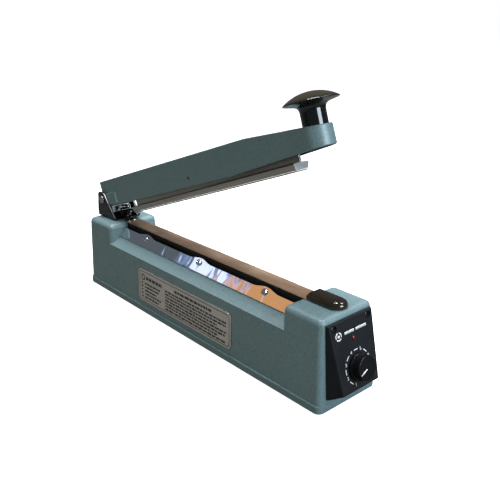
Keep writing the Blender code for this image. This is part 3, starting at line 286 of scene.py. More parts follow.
materials = {
    "hammertone_paint": make_hammertone(),
    "black_plastic": make_plastic("moulded_black", ((0.005, 0.0055, 0.007), (0.007, 0.0075, 0.0095)),
                                  (0.44, 0.56), 1800.0, 0.00006, Specular_IOR_Level=0.2),
    "knob_black": make_plastic("knob_black", ((0.003, 0.003, 0.0035), (0.005, 0.005, 0.006)),
                               (0.2, 0.3), 1500.0, 0.00002, Specular_IOR_Level=0.16),
    "gloss_black": make_plastic("gloss_black", ((0.013, 0.009, 0.004), (0.018, 0.012, 0.006)),
                                (0.06, 0.14), 300.0, 0.00001, Specular_IOR_Level=0.65),
    "handle_black": make_handle_plastic(),
    "phenolic": make_plastic("phenolic_black", ((0.005, 0.005, 0.005), (0.01, 0.009, 0.008)),
                             (0.5, 0.65), 900.0, 0.0001, Specular_IOR_Level=0.2),
    "rubber": make_plastic("rubber_black", ((0.018, 0.018, 0.018), (0.028, 0.027, 0.026)),
                           (0.7, 0.85), 1200.0, 0.00015),
    "silicone": make_plastic("silicone_grey", ((0.26, 0.235, 0.205), (0.32, 0.29, 0.255)),
                             (0.5, 0.65), 700.0, 0.0001),
    "red_lens": make_plastic("lamp_red", ((0.11, 0.008, 0.007), (0.16, 0.013, 0.01)),
                             (0.2, 0.3), 200.0, 0.00002, Coat_Weight=0.2),
    "circuit_board": make_plastic("board_green", ((0.015, 0.14, 0.06), (0.03, 0.22, 0.1)),
                                  (0.35, 0.5), 500.0, 0.00004),
    "white_print": make_plastic("white_print", ((0.72, 0.73, 0.74), (0.82, 0.82, 0.82)),
                                (0.45, 0.6), 900.0, 0.00003),
    "dark_print": make_plastic("dark_print", ((0.012, 0.011, 0.01), (0.025, 0.022, 0.02)),
                               (0.5, 0.65), 900.0, 0.00003),
    "chrome": make_chrome(),
    "zinc": make_metal("zinc_plate", ((0.68, 0.66, 0.6), (0.8, 0.78, 0.72)), (0.24, 0.38),
                       (1, 1, 1), 120.0, 0.00003),
    "steel": make_metal("turned_steel", ((0.36, 0.355, 0.34), (0.46, 0.45, 0.43)), (0.3, 0.44),
                        (1, 1, 0.2), 160.0, 0.00004),
    "black_steel": make_metal("blacked_steel", ((0.03, 0.031, 0.035), (0.055, 0.055, 0.06)), (0.24, 0.34),
                              (1, 1, 1), 120.0, 0.00002),
    # bright metal for the bracket's edges, partly a painted highlight
    "worn_edge_and_highlight": make_metal("worn_edge_and_highlight", ((0.36, 0.36, 0.39), (0.48, 0.48, 0.51)), (0.5, 0.62),
                            (1, 1, 1), 160.0, 0.00003),
    "aluminium": make_aluminium(),
    "nameplate_foil": make_metal("nameplate_foil", ((0.7, 0.64, 0.58), (0.82, 0.75, 0.69)), (0.45, 0.6),
                                 (0.05, 1, 1), 300.0, 0.00003),
    "brass": make_metal("terminal_brass", ((0.62, 0.42, 0.15), (0.75, 0.55, 0.22)), (0.2, 0.35),
                        (1, 1, 1), 220.0, 0.00005),
    "ptfe_cloth": make_tape_cloth(),
    "copper": make_winding(),
}


# ---------------------------------------------------------------- making pieces
MERGE_DISTANCE = 2e-6


def add_piece(name, mesh, slot, body, matrix=None, replaces=()):
    """A finished piece that rides on a body and stands for the named CAD nodes."""
    obj = bpy.data.objects.new(name, mesh)
    bpy.context.scene.collection.objects.link(obj)
    mesh.materials.clear()
    mesh.materials.append(materials[slot])
    mesh.shade_smooth()
    if matrix is not None:
        obj.matrix_world = matrix
    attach(obj, body)
    if replaces:
        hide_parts(*replaces)
    return obj


def bevel(obj, width, segments, angle):
    modifier = obj.modifiers.new("bevel", "BEVEL")
    modifier.width = width
    modifier.segments = segments
    modifier.limit_method = "ANGLE"
    modifier.angle_limit = math.radians(angle)
    weighted = obj.modifiers.new("weighted_normals", "WEIGHTED_NORMAL")
    weighted.keep_sharp = True
    weighted.weight = 100


def from_cad(node, slot, body, width, segments=2, matrix=None, angle=25, reshape=None):
    """The CAD solid with its flat faces merged, its edges rounded and its own axes."""
    matrix = matrix or Matrix.Identity(4)
    bm = bmesh.new()
    bm.from_mesh(frame["nodes"][node].data)
    bmesh.ops.remove_doubles(bm, verts=bm.verts[:], dist=MERGE_DISTANCE)
    if reshape:
        reshape(bm)
    bmesh.ops.dissolve_limit(bm, angle_limit=math.radians(0.3), verts=bm.verts[:], edges=bm.edges[:])
    bm.transform(matrix.inverted())
    bmesh.ops.recalc_face_normals(bm, faces=bm.faces[:])
    mesh = bpy.data.meshes.new(node + "_mesh")
    bm.to_mesh(mesh)
    bm.free()
    obj = add_piece(node + "_shell", mesh, slot, body, matrix, [node])
    bevel(obj, width, segments, angle)


def fillet(points, radius, steps):
    """An open outline with each inner corner rounded by up to radius."""
    result = [points[0]]
    for before, corner, after in zip(points, points[1:], points[2:]):
        a, c, b = Vector(before), Vector(corner), Vector(after)
        reach = min(radius, 0.45 * (a - c).length, 0.45 * (b - c).length)
        start = c + (a - c).normalized() * reach
        end = c + (b - c).normalized() * reach
        for i in range(steps + 1):
            t = i / steps
            result.append(tuple(start * (1 - t) ** 2 + c * 2 * t * (1 - t) + end * t * t))
    result.append(points[-1])
    return result


def lathe_mesh(name, profile, segments, ripple=None):
    """Turns (radius, height) points round Z. Ripple changes a radius by its angle and height."""
    bm = bmesh.new()
    rings = []
    for radius, height in profile:
        if radius < 1e-7:
            rings.append([bm.verts.new((0, 0, height))])
            continue
        ring = []
        for i in range(segments):
            angle = 2 * math.pi * i / segments
            r = ripple(radius, height, angle) if ripple else radius
            ring.append(bm.verts.new((r * math.cos(angle), r * math.sin(angle), height)))
        rings.append(ring)
    for upper, lower in zip(rings, rings[1:]):
        for i in range(segments):
            j = (i + 1) % segments
            corners = [upper[i % len(upper)], lower[i % len(lower)]]
            corners += [lower[j % len(lower)], upper[j % len(upper)]]
            face = list(dict.fromkeys(corners))
            if len(face) > 2:
                bm.faces.new(face)
    bmesh.ops.recalc_face_normals(bm, faces=bm.faces[:])
    mesh = bpy.data.meshes.new(name)
    bm.to_mesh(mesh)
    bm.free()
    return mesh


def prism_mesh(name, outlines, low, high):
    """Outlines of flat faces in XY, each made solid from low to high."""
    bm = bmesh.new()
    for outline in outlines:
        bottom = bm.faces.new([bm.verts.new((x, y, low)) for x, y in outline])
        grown = bmesh.ops.extrude_face_region(bm, geom=[bottom])
        for element in grown["geom"]:
            if isinstance(element, bmesh.types.BMVert):
                element.co.z = high
    bmesh.ops.recalc_face_normals(bm, faces=bm.faces[:])
    mesh = bpy.data.meshes.new(name)
    bm.to_mesh(mesh)
    bm.free()
    return mesh


def arc(centre, radius, start, end, steps):
    points = []
    for i in range(steps + 1):
        angle = math.radians(start + (end - start) * i / steps)
        points.append((centre[0] + radius * math.cos(angle), centre[1] + radius * math.sin(angle)))
    return points


def bar_outline(x, y, width, height):
    return [(x, y), (x + width, y), (x + width, y + height), (x, y + height)]


def axis_frame(place, direction):
    return Matrix.Translation(place) @ Vector(direction).to_track_quat("Z", "Y").to_matrix().to_4x4()


def head_top(node, direction):
    """The middle of a CAD screw's end that lies furthest along direction."""
    points = [vertex.co for vertex in frame["nodes"][node].data.vertices]
    direction = Vector(direction).normalized()
    far = max(point.dot(direction) for point in points)
    top = [point for point in points if point.dot(direction) > far - 2e-5]
    low = Vector([min(point[i] for point in top) for i in range(3)])
    high = Vector([max(point[i] for point in top) for i in range(3)])
    return (low + high) / 2


# head radius, head height, shank radius and shank length
STRIP_SCREW = (0.0036, 0.0024, 0.0016, 0.008)
CONSOLE_SCREW = (0.003, 0.0011, 0.0016, 0.009)
PLATE_SCREW = (0.0029, 0.0014, 0.0014, 0.0092)
BRACKET_SCREW = (0.003, 0.0016, 0.0016, 0.0058)
HINGE_PLATE_SCREW = (0.0024, 0.0011, 0.0013, 0.0075)
DOME_STEPS = 6


def cross_screw(node, slot, body, direction, size):
    """A pan-head screw with a cross recess, where the CAD screw is."""
    head_radius, head_height, shank_radius, length = size
    direction = Vector(direction).normalized()
    seat = head_top(node, direction) - direction * head_height
    crown = 0.22 * head_height
    dome = []
    for i in range(DOME_STEPS + 1):
        share = i / DOME_STEPS
        dome.append((head_radius * 0.86 * share, head_height - crown * share ** 2))
    side = [(head_radius, 0.45 * head_height), (head_radius, 0.0), (shank_radius, 0.0)]
    side += [(shank_radius, -length), (0.0, -length)]
    profile = dome[:-1] + fillet([dome[-1]] + side, 0.0003, 3)
    mesh = lathe_mesh(node + "_mesh", profile, 40)
    screw = add_piece(node + "_detail", mesh, slot, body, axis_frame(seat, direction), [node])
    cut_from(screw, recess_mesh(head_radius, head_height))


def recess_mesh(head_radius, head_height):
    """Two crossed bars that taper downwards, to be cut out of a screw's head."""
    arm, width, depth = 0.55 * head_radius, 0.14 * head_radius, 0.6 * head_height
    bm = bmesh.new()
    for half_x, half_y in ((arm, width), (width * 0.999, arm)):
        made = bmesh.ops.create_cube(bm, size=1.0)
        for vertex in made["verts"]:
            taper = 1.0 if vertex.co.z > 0 else 0.55
            z = head_height * 1.2 if vertex.co.z > 0 else head_height - depth
            vertex.co = (2 * half_x * taper * vertex.co.x, 2 * half_y * taper * vertex.co.y, z)
    mesh = bpy.data.meshes.new("recess")
    bm.to_mesh(mesh)
    bm.free()
    return mesh


def cut_from(obj, mesh):
    """Cuts a mesh, given in the object's own axes, out of the object for good."""
    cutter = bpy.data.objects.new("cutter", mesh)
    bpy.context.scene.collection.objects.link(cutter)
    bpy.context.view_layer.update()
    cutter.matrix_world = obj.matrix_world
    modifier = obj.modifiers.new("cut", "BOOLEAN")
    modifier.operation = "DIFFERENCE"
    modifier.solver = "EXACT"
    modifier.use_self = True
    modifier.object = cutter
    bpy.context.view_layer.update()
    depsgraph = bpy.context.evaluated_depsgraph_get()
    result = bpy.data.meshes.new_from_object(obj.evaluated_get(depsgraph))
    obj.modifiers.clear()
    obj.data = result
    bpy.data.objects.remove(cutter, do_unlink=True)
    result.shade_smooth()
    result.set_sharp_from_angle(angle=math.radians(32))


# ---------------------------------------------------------------- painted castings and sheet metal
WALL_FOOT = (BODY_ORIGIN.z + 0.005, 0.0405)      # height and half width of the side wall
WALL_TOP = (BODY_ORIGIN.z + 0.0925, 0.036)
SHELF_EDGE_Z = BODY_ORIGIN.z + 0.067
WALL_STEP = 0.00027            # more than the middle wall stands back from the blocks' walls


def flush_side_walls(bm):
    """Brings the wall between the end blocks level with the blocks' own walls."""
    slope = (WALL_TOP[1] - WALL_FOOT[1]) / (WALL_TOP[0] - WALL_FOOT[0])
    for vertex in bm.verts:
        wall = WALL_FOOT[1] + slope * (vertex.co.z - WALL_FOOT[0])
        if vertex.co.z < SHELF_EDGE_Z + 0.0005 and abs(abs(vertex.co.y) - wall) < WALL_STEP:
            vertex.co.y = math.copysign(wall, vertex.co.y)
    bmesh.ops.remove_doubles(bm, verts=bm.verts[:], dist=2e-5)


def build_castings():
    from_cad("base_casting", "hammertone_paint", "base", 0.0007, 3, angle=28, reshape=flush_side_walls)
    from_cad("arm_casting", "hammertone_paint", "arm", 0.0005, 2, ARM_FRAME, angle=28)


EAR_THICKNESS = 0.0027
EDGE_LIFT = 0.00008
EDGE_SHARE = 0.55              # of the ear's thickness that the bright edge covers


def build_metalwork():
    from_cad("hinge_bracket", "black_steel", "base", 0.0006, 3)
    from_cad("spring_bracket", "black_steel", "base", 0.0003)
    from_cad("hinge_plate", "zinc", "arm", 0.0002, 2, ARM_FRAME)
    from_cad("pressure_bar", "aluminium", "pressure_bar", 0.00025, 2, ARM_FRAME)
    from_cad("silicone_strip", "silicone", "pressure_bar", 0.0002, 2, ARM_FRAME)
    from_cad("bar_pin", "steel", "arm", 0.0003, 2)
    from_cad("seal_bar", "phenolic", "base", 0.0003)
    from_cad("bottom_plate", "steel", "base", 0.0002)


def build_bracket_edges():
    """The sheared edges of the bracket's ears, which the blacking has worn off; their bright metal also stands in
    for the edges' highlight, a painted highlight.
    """
    low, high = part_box("hinge_bracket")
    plate_top = low.z + 0.0045
    ear_front = (low.x + high.x) / 2 - 0.006
    bm = bmesh.new()
    bm.from_mesh(frame["nodes"]["hinge_bracket"].data)
    bmesh.ops.remove_doubles(bm, verts=bm.verts[:], dist=MERGE_DISTANCE)
    others = []
    for face in bm.faces:
        middle = face.calc_center_median()
        if abs(face.normal.y) > 0.3 or middle.z < plate_top or middle.x < ear_front:
            others.append(face)
    bmesh.ops.delete(bm, geom=others, context="FACES")
    shift = {vertex: vertex.normal * EDGE_LIFT for vertex in bm.verts}
    for vertex in bm.verts:
        side = math.copysign(1.0, vertex.co.y)
        middle = side * (high.y - EAR_THICKNESS / 2)
        vertex.co += shift[vertex]
        vertex.co.y = middle + (vertex.co.y - middle) * EDGE_SHARE
    mesh = bpy.data.meshes.new("hinge_bracket_edges_mesh")
    bm.to_mesh(mesh)
    bm.free()
    # bright metal on the ears' edges: worn bare metal, partly a painted highlight
    edges = add_piece("hinge_bracket_edges", mesh, "worn_edge_and_highlight", "base")
    solid = edges.modifiers.new("thickness", "SOLIDIFY")
    solid.thickness = EDGE_LIFT


def build_hinge_pin():
    low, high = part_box("hinge_pin")
    half = (high.y - low.y) / 2
    radius = (high.x - low.x) / 2
    dome, head, shank = 0.0009, 0.0019, 0.004
    end = [(0.0, half), (radius * 0.75, half), (radius, half - dome), (radius, half - head)]
    end.append((shank, half - head))
    profile = fillet(end, 0.0004, 4)
    profile += [(r, -z) for r, z in reversed(profile)]
    add_piece("hinge_pin_detail", lathe_mesh("hinge_pin_mesh", profile, 48), "steel", "base",
              axis_frame((low + high) / 2, (0, 1, 0)), ["hinge_pin"])


def build_return_spring():
    """A coil with closed ends, at one fixed length; the real spring gives way as the arm comes down."""
    low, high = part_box("return_spring")
    centre = (low + high) / 2
    wire, turns, sides, per_turn = 0.0008, 6.0, 12, 40
    end_rise = 2.2 * wire
    radius = (high.x - low.x) / 2 - wire
    count = int(turns * per_turn)
    path = []
    for i in range(count + 1):
        turn = i / per_turn
        share = min(max((turn - 1.0) / (turns - 2.0), 0.0), 1.0)
        closed = end_rise * (min(turn, 1.0) + max(turn - turns + 1, 0.0))
        z = low.z + wire + closed + share * (high.z - low.z - 2 * wire - 2 * end_rise)
        angle = 2 * math.pi * turn
        path.append(Vector((centre.x + radius * math.cos(angle), centre.y + radius * math.sin(angle), z)))
    bm = bmesh.new()
    rings = []
    for i, point in enumerate(path):
        ahead, behind = path[min(i + 1, count)], path[max(i - 1, 0)]
        tangent = (ahead - behind).normalized()
        out = Vector((point.x - centre.x, point.y - centre.y, 0)).normalized()
        up = tangent.cross(out).normalized()
        ring = []
        for k in range(sides):
            angle = 2 * math.pi * k / sides
            ring.append(bm.verts.new(point + (out * math.cos(angle) + up * math.sin(angle)) * wire))
        rings.append(ring)
    for a, b in zip(rings, rings[1:]):
        for k in range(sides):
            m = (k + 1) % sides
            bm.faces.new((a[k], a[m], b[m], b[k]))
    bm.faces.new(rings[0])
    bm.faces.new(list(reversed(rings[-1])))
    bmesh.ops.recalc_face_normals(bm, faces=bm.faces[:])
    mesh = bpy.data.meshes.new("return_spring_mesh")
    bm.to_mesh(mesh)
    bm.free()
    spring = add_piece("return_spring_coil", mesh, "black_steel", "base", None, ["return_spring"])
    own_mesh(spring)


# ---------------------------------------------------------------- sealing jaw
STRIP_FOOT = Vector((0.022, BODY_ORIGIN.z + 0.0746))
STRIP_HEAD = Vector((0.0132, BODY_ORIGIN.z + 0.0853))
STRIP_RISE = STRIP_HEAD - STRIP_FOOT
STRIP_WIDTH = STRIP_RISE.length
STRIP_LIFT = 0.0003
STRIP_THICKNESS = 0.001
LOBE_HEIGHT = 0.0034
LOBE_HALF_LENGTH = 0.021
LOBE_STEPS = 28


def strip_frame(side):
    """Axes on a strip's seat: X along the body, Y up the slope, Z outward.

    The left side's axes are the right side's mirrored, so the left strip's faces wind inward.
    """
    up = Vector((0, side * STRIP_RISE.x, STRIP_RISE.y)).normalized()
    out = Vector((0, side * STRIP_RISE.y, -STRIP_RISE.x)).normalized()
    basis = Matrix((Vector((1, 0, 0)), up, out)).transposed().to_4x4()
    return Matrix.Translation((0, side * STRIP_FOOT.x, STRIP_FOOT.y)) @ basis


def build_strips():
    for side, name in ((-1, "right"), (1, "left")):
        node = "retaining_strip_" + name
        low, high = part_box(node)
        seat = strip_frame(side)
        outward = seat.to_3x3() @ Vector((0, 0, 1))
        nodes = [f"strip_screw_{name}_{number}" for number in (1, 2, 3)]
        screw_places = [seat.inverted() @ head_top(screw, outward) for screw in nodes]
        outline = [(low.x, 0.0), (high.x, 0.0), (high.x, STRIP_WIDTH)]
        for place in reversed(screw_places):
            for i in range(LOBE_STEPS + 1):
                offset = 1 - 2 * i / LOBE_STEPS
                lift = 0.5 * (1 + math.cos(math.pi * offset))
                outline.append((place.x + offset * LOBE_HALF_LENGTH, STRIP_WIDTH + LOBE_HEIGHT * lift))
        outline.append((low.x, STRIP_WIDTH))
        mesh = prism_mesh(node + "_mesh", [outline], STRIP_LIFT, STRIP_LIFT + STRIP_THICKNESS)
        strip = add_piece(node + "_polished", mesh, "chrome", "base", seat, [node])
        bevel(strip, 0.00035, 3, 40)
        for screw in nodes:
            cross_screw(screw, "chrome", "base", outward, STRIP_SCREW)


TAPE_SLACK = 0.00016           # the band's middle height lies this far under the CAD tape's top
TAPE_WAVES = 6
TAPE_RIPPLE = 0.00004
TAPE_EDGE_START = 0.75         # share of the half width from which the edges turn down
TAPE_EDGE_DROP = 0.00022


def build_tape():
    """The cloth band over the element: slightly slack, with turned-down edges."""
    low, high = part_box("ptfe_tape")
    rng = random.Random(4)
    phases = [rng.uniform(0, 6.28) for _ in range(TAPE_WAVES)]
    along, across = 220, 12
    bm = bmesh.new()
    rows = []
    for i in range(along + 1):
        x = low.x + (high.x - low.x) * i / along
        waves = sum(math.sin(x * 60 * (k + 1) + phases[k]) / (k + 1) for k in range(TAPE_WAVES))
        row = []
        for j in range(across + 1):
            share = 2 * j / across - 1
            ripple = TAPE_RIPPLE * waves * (0.4 + abs(share))
            turned = max(0.0, abs(share) - TAPE_EDGE_START) / (1 - TAPE_EDGE_START)
            z = high.z - TAPE_SLACK + ripple - TAPE_EDGE_DROP * turned ** 2
            row.append(bm.verts.new((x, high.y * share, z)))
        rows.append(row)
    for a, b in zip(rows, rows[1:]):
        for j in range(across):
            bm.faces.new((a[j], b[j], b[j + 1], a[j + 1]))
    mesh = bpy.data.meshes.new("ptfe_tape_mesh")
    bm.to_mesh(mesh)
    bm.free()
    tape = add_piece("ptfe_tape_band", mesh, "ptfe_cloth", "base", None, ["ptfe_tape"])
    solid = tape.modifiers.new("thickness", "SOLIDIFY")
    solid.thickness = high.z - low.z
    solid.offset = -1.0


def build_terminal_cover():
    low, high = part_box("terminal_cover")
    half = (high.y - low.y) / 2
    corner, crown = 0.0022, 0.0040
    outline = arc((high.x - half, 0), half, -90, 90, 40)
    outline += arc((low.x + corner, half - corner), corner, 90, 180, 6)
    outline += arc((low.x + corner, -half + corner), corner, 180, 270, 6)
    mesh = prism_mesh("terminal_cover_mesh", [outline], low.z, high.z)
    add_piece("terminal_cover_moulded", mesh, "gloss_black", "base", None, ["terminal_cover"])
    bm = bmesh.new()
    bm.from_mesh(mesh)
    top_edges = [e for e in bm.edges if all(v.co.z > high.z - 1e-5 for v in e.verts)]
    bmesh.ops.bevel(bm, geom=top_edges, offset=crown, segments=7, profile=0.4, affect="EDGES")
    bm.to_mesh(mesh)
    bm.free()
    mesh.shade_smooth()
    mesh.set_sharp_from_angle(angle=math.radians(40))


# ---------------------------------------------------------------- handle knob
KNOB_REACH = 0.409             # from the hinge, along the arm
KNOB_TILT = math.radians(2.5)
KNOB_SEAT = 0.0069
CAP_RADIUS = 0.0266
CAP_RIM = 0.0294
CAP_TOP = 0.0382
CAP_CURVE = 0.0415
CROWN_STEPS = 20


def crown_drop(radius):
    """How far a ball of the crown's curve falls away at this radius."""
    return CAP_CURVE - math.sqrt(CAP_CURVE ** 2 - radius ** 2)


def build_handle():
    matrix = ARM_FRAME @ Matrix.Translation((KNOB_REACH, 0, 0)) @ Matrix.Rotation(KNOB_TILT, 4, "Y")
    dome = []
    for i in range(CROWN_STEPS):
        radius = CAP_RADIUS * i / CROWN_STEPS
        share = crown_drop(radius) / crown_drop(CAP_RADIUS)
        dome.append((radius, CAP_TOP - (CAP_TOP - CAP_RIM) * share))
    under = [(CAP_RADIUS, CAP_RIM), (0.0260, CAP_RIM - 0.0008), (0.0158, CAP_RIM - 0.0030),
             (0.0129, CAP_RIM - 0.0050), (0.0121, CAP_RIM - 0.0085), (0.0121, KNOB_SEAT)]
    profile = dome + fillet([dome[-1]] + under, 0.0022, 6)[1:] + [(0.0, KNOB_SEAT)]
    mesh = lathe_mesh("handle_knob_mesh", profile, 96)
    knob = add_piece("handle_knob_polished", mesh, "handle_black", "arm", matrix, ["handle_knob"])
    knob.data.set_sharp_from_angle(angle=math.radians(60))


# ---------------------------------------------------------------- console, dial and timer knob
PRINT_SINK = 0.00002
PRINT_RAISE = 0.00006

DIAL_RADIUS = 0.0172
DIAL_LINE = 0.0008
FIGURE_COUNT = 8
FIGURE_SIZE = 0.0046
FIRST_FIGURE = -157.5          # degrees clockwise from the top
FIGURE_STEP = 45.0
FIGURE_GAP = 13.5              # degrees between a figure's middle and the arcs beside it

MARK_PLACE = (-0.0195, FACE_TOP_TO_DIAL - 0.0130)


def face_print(name, outlines):
    mesh = prism_mesh(name + "_mesh", outlines, -PRINT_SINK, PRINT_RAISE)
    add_piece(name, mesh, "white_print", "base", FACE_FRAME)


def ring_outline(radius, width, start, end, centre=(0.0, 0.0)):
    """A band of an arc; angles in degrees, clockwise from the top."""
    steps = max(6, int(abs(end - start) / 3))
    outer = arc(centre, radius + width / 2, 90 - start, 90 - end, steps)
    inner = arc(centre, radius - width / 2, 90 - end, 90 - start, steps)
    return outer + inner


def text_mesh(words, size):
    curve = bpy.data.curves.new("figure", "FONT")
    curve.body = words
    curve.size = size
    curve.extrude = PRINT_RAISE / 2
    curve.align_x = "CENTER"
    curve.align_y = "CENTER"
    obj = bpy.data.objects.new("figure", curve)
    bpy.context.scene.collection.objects.link(obj)
    bpy.context.view_layer.update()
    depsgraph = bpy.context.evaluated_depsgraph_get()
    mesh = bpy.data.meshes.new_from_object(obj.evaluated_get(depsgraph))
    bpy.data.objects.remove(obj, do_unlink=True)
    return mesh


def build_dial():
    """Figures in a ring, with an arc between each two."""
    arcs = []
    for i in range(FIGURE_COUNT - 1):
        figure_angle = FIRST_FIGURE + i * FIGURE_STEP
        start, end = figure_angle + FIGURE_GAP, figure_angle + FIGURE_STEP - FIGURE_GAP
        arcs.append(ring_outline(DIAL_RADIUS, DIAL_LINE, start, end))
    face_print("dial_arcs", arcs)
    bm = bmesh.new()
    for i in range(FIGURE_COUNT):
        angle = math.radians(FIRST_FIGURE + i * FIGURE_STEP)
        place = (DIAL_RADIUS * math.sin(angle), DIAL_RADIUS * math.cos(angle), PRINT_RAISE / 2)
        figure = text_mesh(str(i + 1), FIGURE_SIZE)
        figure.transform(Matrix.Translation(place))
        bm.from_mesh(figure)
        bpy.data.meshes.remove(figure)
    mesh = bpy.data.meshes.new("dial_figures_mesh")
    bm.to_mesh(mesh)
    bm.free()
    add_piece("dial_figures", mesh, "white_print", "base", FACE_FRAME)


def build_console_print():
    """A plain round mark and two groups of blocks, in the place of printing over the lamp."""
    mark = [ring_outline(0.0036, 0.0011, start, start + 100, MARK_PLACE) for start in (10, 130, 250)]
    mark.append(ring_outline(0.0009, 0.0012, 0, 350, MARK_PLACE))
    face_print("console_mark", mark)
    block_width, block_height, pitch, group_gap = 0.0014, 0.0026, 0.0019, 0.0022
    x, y = -0.0112, MARK_PLACE[1] - 0.0008
    blocks = []
    for count in (7, 8):
        for _ in range(count):
            blocks.append(bar_outline(x, y, block_width, block_height))
            x += pitch
        x += group_gap
    face_print("console_lines", blocks)


def build_console():
    from_cad("front_console", "black_plastic", "base", 0.0006, 3, angle=12)
    build_dial()
    build_console_print()
    for name in ("left", "right"):
        cross_screw("console_screw_" + name, "black_steel", "base", FACE_OUT, CONSOLE_SCREW)
    build_lamp()


LAMP_DROP = 0.0197             # from the console's top edge
LENS_RADIUS = 0.0018
LENS_RIM = 0.0003
LENS_CROWN = 0.0006
LENS_FOOT = -0.006
LENS_STEPS = 8


def build_lamp():
    matrix = FACE_FRAME @ Matrix.Translation((0, FACE_TOP_TO_DIAL - LAMP_DROP, 0))
    profile = []
    for i in range(LENS_STEPS + 1):
        angle = math.pi / 2 * i / LENS_STEPS
        profile.append((LENS_RADIUS * math.sin(angle), LENS_RIM + LENS_CROWN * math.cos(angle)))
    profile += [(LENS_RADIUS, LENS_FOOT), (0.0, LENS_FOOT)]
    lens_mesh = lathe_mesh("indicator_lens_mesh", profile, 40)
    add_piece("indicator_lens", lens_mesh, "red_lens", "base", matrix, ["indicator_lamp"])
    # the bezel is a ring that is open underneath
    bezel = fillet([(0.00195, 0.0), (0.00195, 0.0006), (0.0027, 0.0006), (0.0029, 0.0)], 0.0002, 3)
    bezel_mesh = lathe_mesh("indicator_bezel_mesh", bezel, 40)
    add_piece("indicator_bezel", bezel_mesh, "black_plastic", "base", matrix)


FLUTES = 30
FLUTE_DEPTH = 0.00028
FLUTE_FOOT = 0.0031
FLUTE_TOP = 0.0114
FLUTE_INNER_RADIUS = 0.0118
POINTER_WIDTH = 0.0011


def fluted(radius, height, angle):
    """The timer knob's radius where its grip is fluted."""
    if height < FLUTE_FOOT or height > FLUTE_TOP or radius < FLUTE_INNER_RADIUS:
        return radius
    return radius - FLUTE_DEPTH * max(0.0, math.cos(FLUTES * angle)) ** 0.5


def build_timer_knob():
    """A fluted grip on a skirt; the shaft's hole underneath is left open."""
    outline = [(0.0, 0.0120), (0.0111, 0.0120), (0.0116, 0.0122), (0.0122, 0.0119), (0.01235, 0.0113),
               (0.0125, 0.0090), (0.0127, 0.0062), (0.0130, 0.0034), (0.0131, 0.0030), (0.0136, 0.0026),
               (0.0136, 0.0005), (0.0033, 0.0005)]
    mesh = lathe_mesh("timer_knob_mesh", fillet(outline, 0.0003, 3), 240, fluted)
    knob = add_piece("timer_knob_fluted", mesh, "knob_black", "timer", FACE_FRAME, ["timer_knob"])
    knob.data.set_sharp_from_angle(angle=math.radians(38))

    # the pointer stands at the dial's second figure
    angle = math.radians(FIRST_FIGURE + FIGURE_STEP)
    along = Vector((math.sin(angle), math.cos(angle)))
    side = Vector((along.y, -along.x)) * POINTER_WIDTH / 2
    near, far = along * 0.0012, along * 0.0108
    line = [near + side, far + side, far - side, near - side]
    pointer_mesh = prism_mesh("timer_pointer_mesh", [line], 0.0119, 0.01215)
    add_piece("timer_pointer", pointer_mesh, "white_print", "timer", FACE_FRAME)


# ---------------------------------------------------------------- nameplate printing
PLATE_HEIGHT = 0.043
BORDER_INSET = 0.0024
BORDER_LINE = 0.0008
BORDER_CORNER = 0.004

PLATE_PRINT_SINK = 0.00001
PLATE_PRINT_RAISE = 0.00004

# on the left a mark, a heading and rows with a bullet; on the right a heading and longer rows
PLATE_MARK = (0.0115, 0.0102)             # from the plate's left end, and down from its top
LEFT_HEADING = (0.0178, 0.0121)
LEFT_ROWS = (0.0145, 0.0190)
LEFT_PITCH = 0.0046
LEFT_COUNT = 5
LEFT_LENGTH = 0.036
BULLET_X = 0.0072
RIGHT_HEADING = (0.080, 0.0098)
RIGHT_ROWS = (0.060, 0.0148)
RIGHT_PITCH = 0.0039
RIGHT_COUNT = 7
RIGHT_LENGTH = 0.118


def nameplate_frame():
    """Axes on the plate's outer face: X along the body, Y up the wall, Z outward."""
    points = [vertex.co for vertex in frame["nodes"]["nameplate"].data.vertices]
    lean = math.atan2(WALL_FOOT[1] - WALL_TOP[1], WALL_TOP[0] - WALL_FOOT[0])
    along = Vector((1, 0, 0))
    out = Vector((0, -math.cos(lean), math.sin(lean)))
    up = out.cross(along).normalized()
    left = min(point.x for point in points)
    bottom = min(point.dot(up) for point in points)
    far = max(point.dot(out) for point in points)
    origin = along * left + up * bottom + out * far
    return Matrix.Translation(origin) @ Matrix((along, up, out)).transposed().to_4x4()


def border_outlines(width):
    """A thin line with round corners, just inside of the plate's edge."""
    x0, x1 = BORDER_INSET, width - BORDER_INSET
    y0, y1 = BORDER_INSET, PLATE_HEIGHT - BORDER_INSET
    left, right = x0 + BORDER_CORNER, x1 - BORDER_CORNER
    bottom, top = y0 + BORDER_CORNER, y1 - BORDER_CORNER
    bars = [bar_outline(left, y, right - left, BORDER_LINE) for y in (y0, y1 - BORDER_LINE)]
    bars += [bar_outline(x, bottom, BORDER_LINE, top - bottom) for x in (x0, x1 - BORDER_LINE)]
    for quarter, centre in enumerate(((right, top), (right, bottom), (left, bottom), (left, top))):
        start = 90 * quarter
        bars.append(ring_outline(BORDER_CORNER - BORDER_LINE / 2, BORDER_LINE, start, start + 90, centre))
    return bars


def word_outlines(rng, x, y, length, tall):
    """A line of plain bars of uneven length, in the place of words."""
    bars = []
    end = x + length
    while x < end - 0.001:
        word = min(rng.uniform(0.0022, 0.0085), end - x)
        bars.append(bar_outline(x, y, word, tall))
        x += word + 0.0011
    return bars


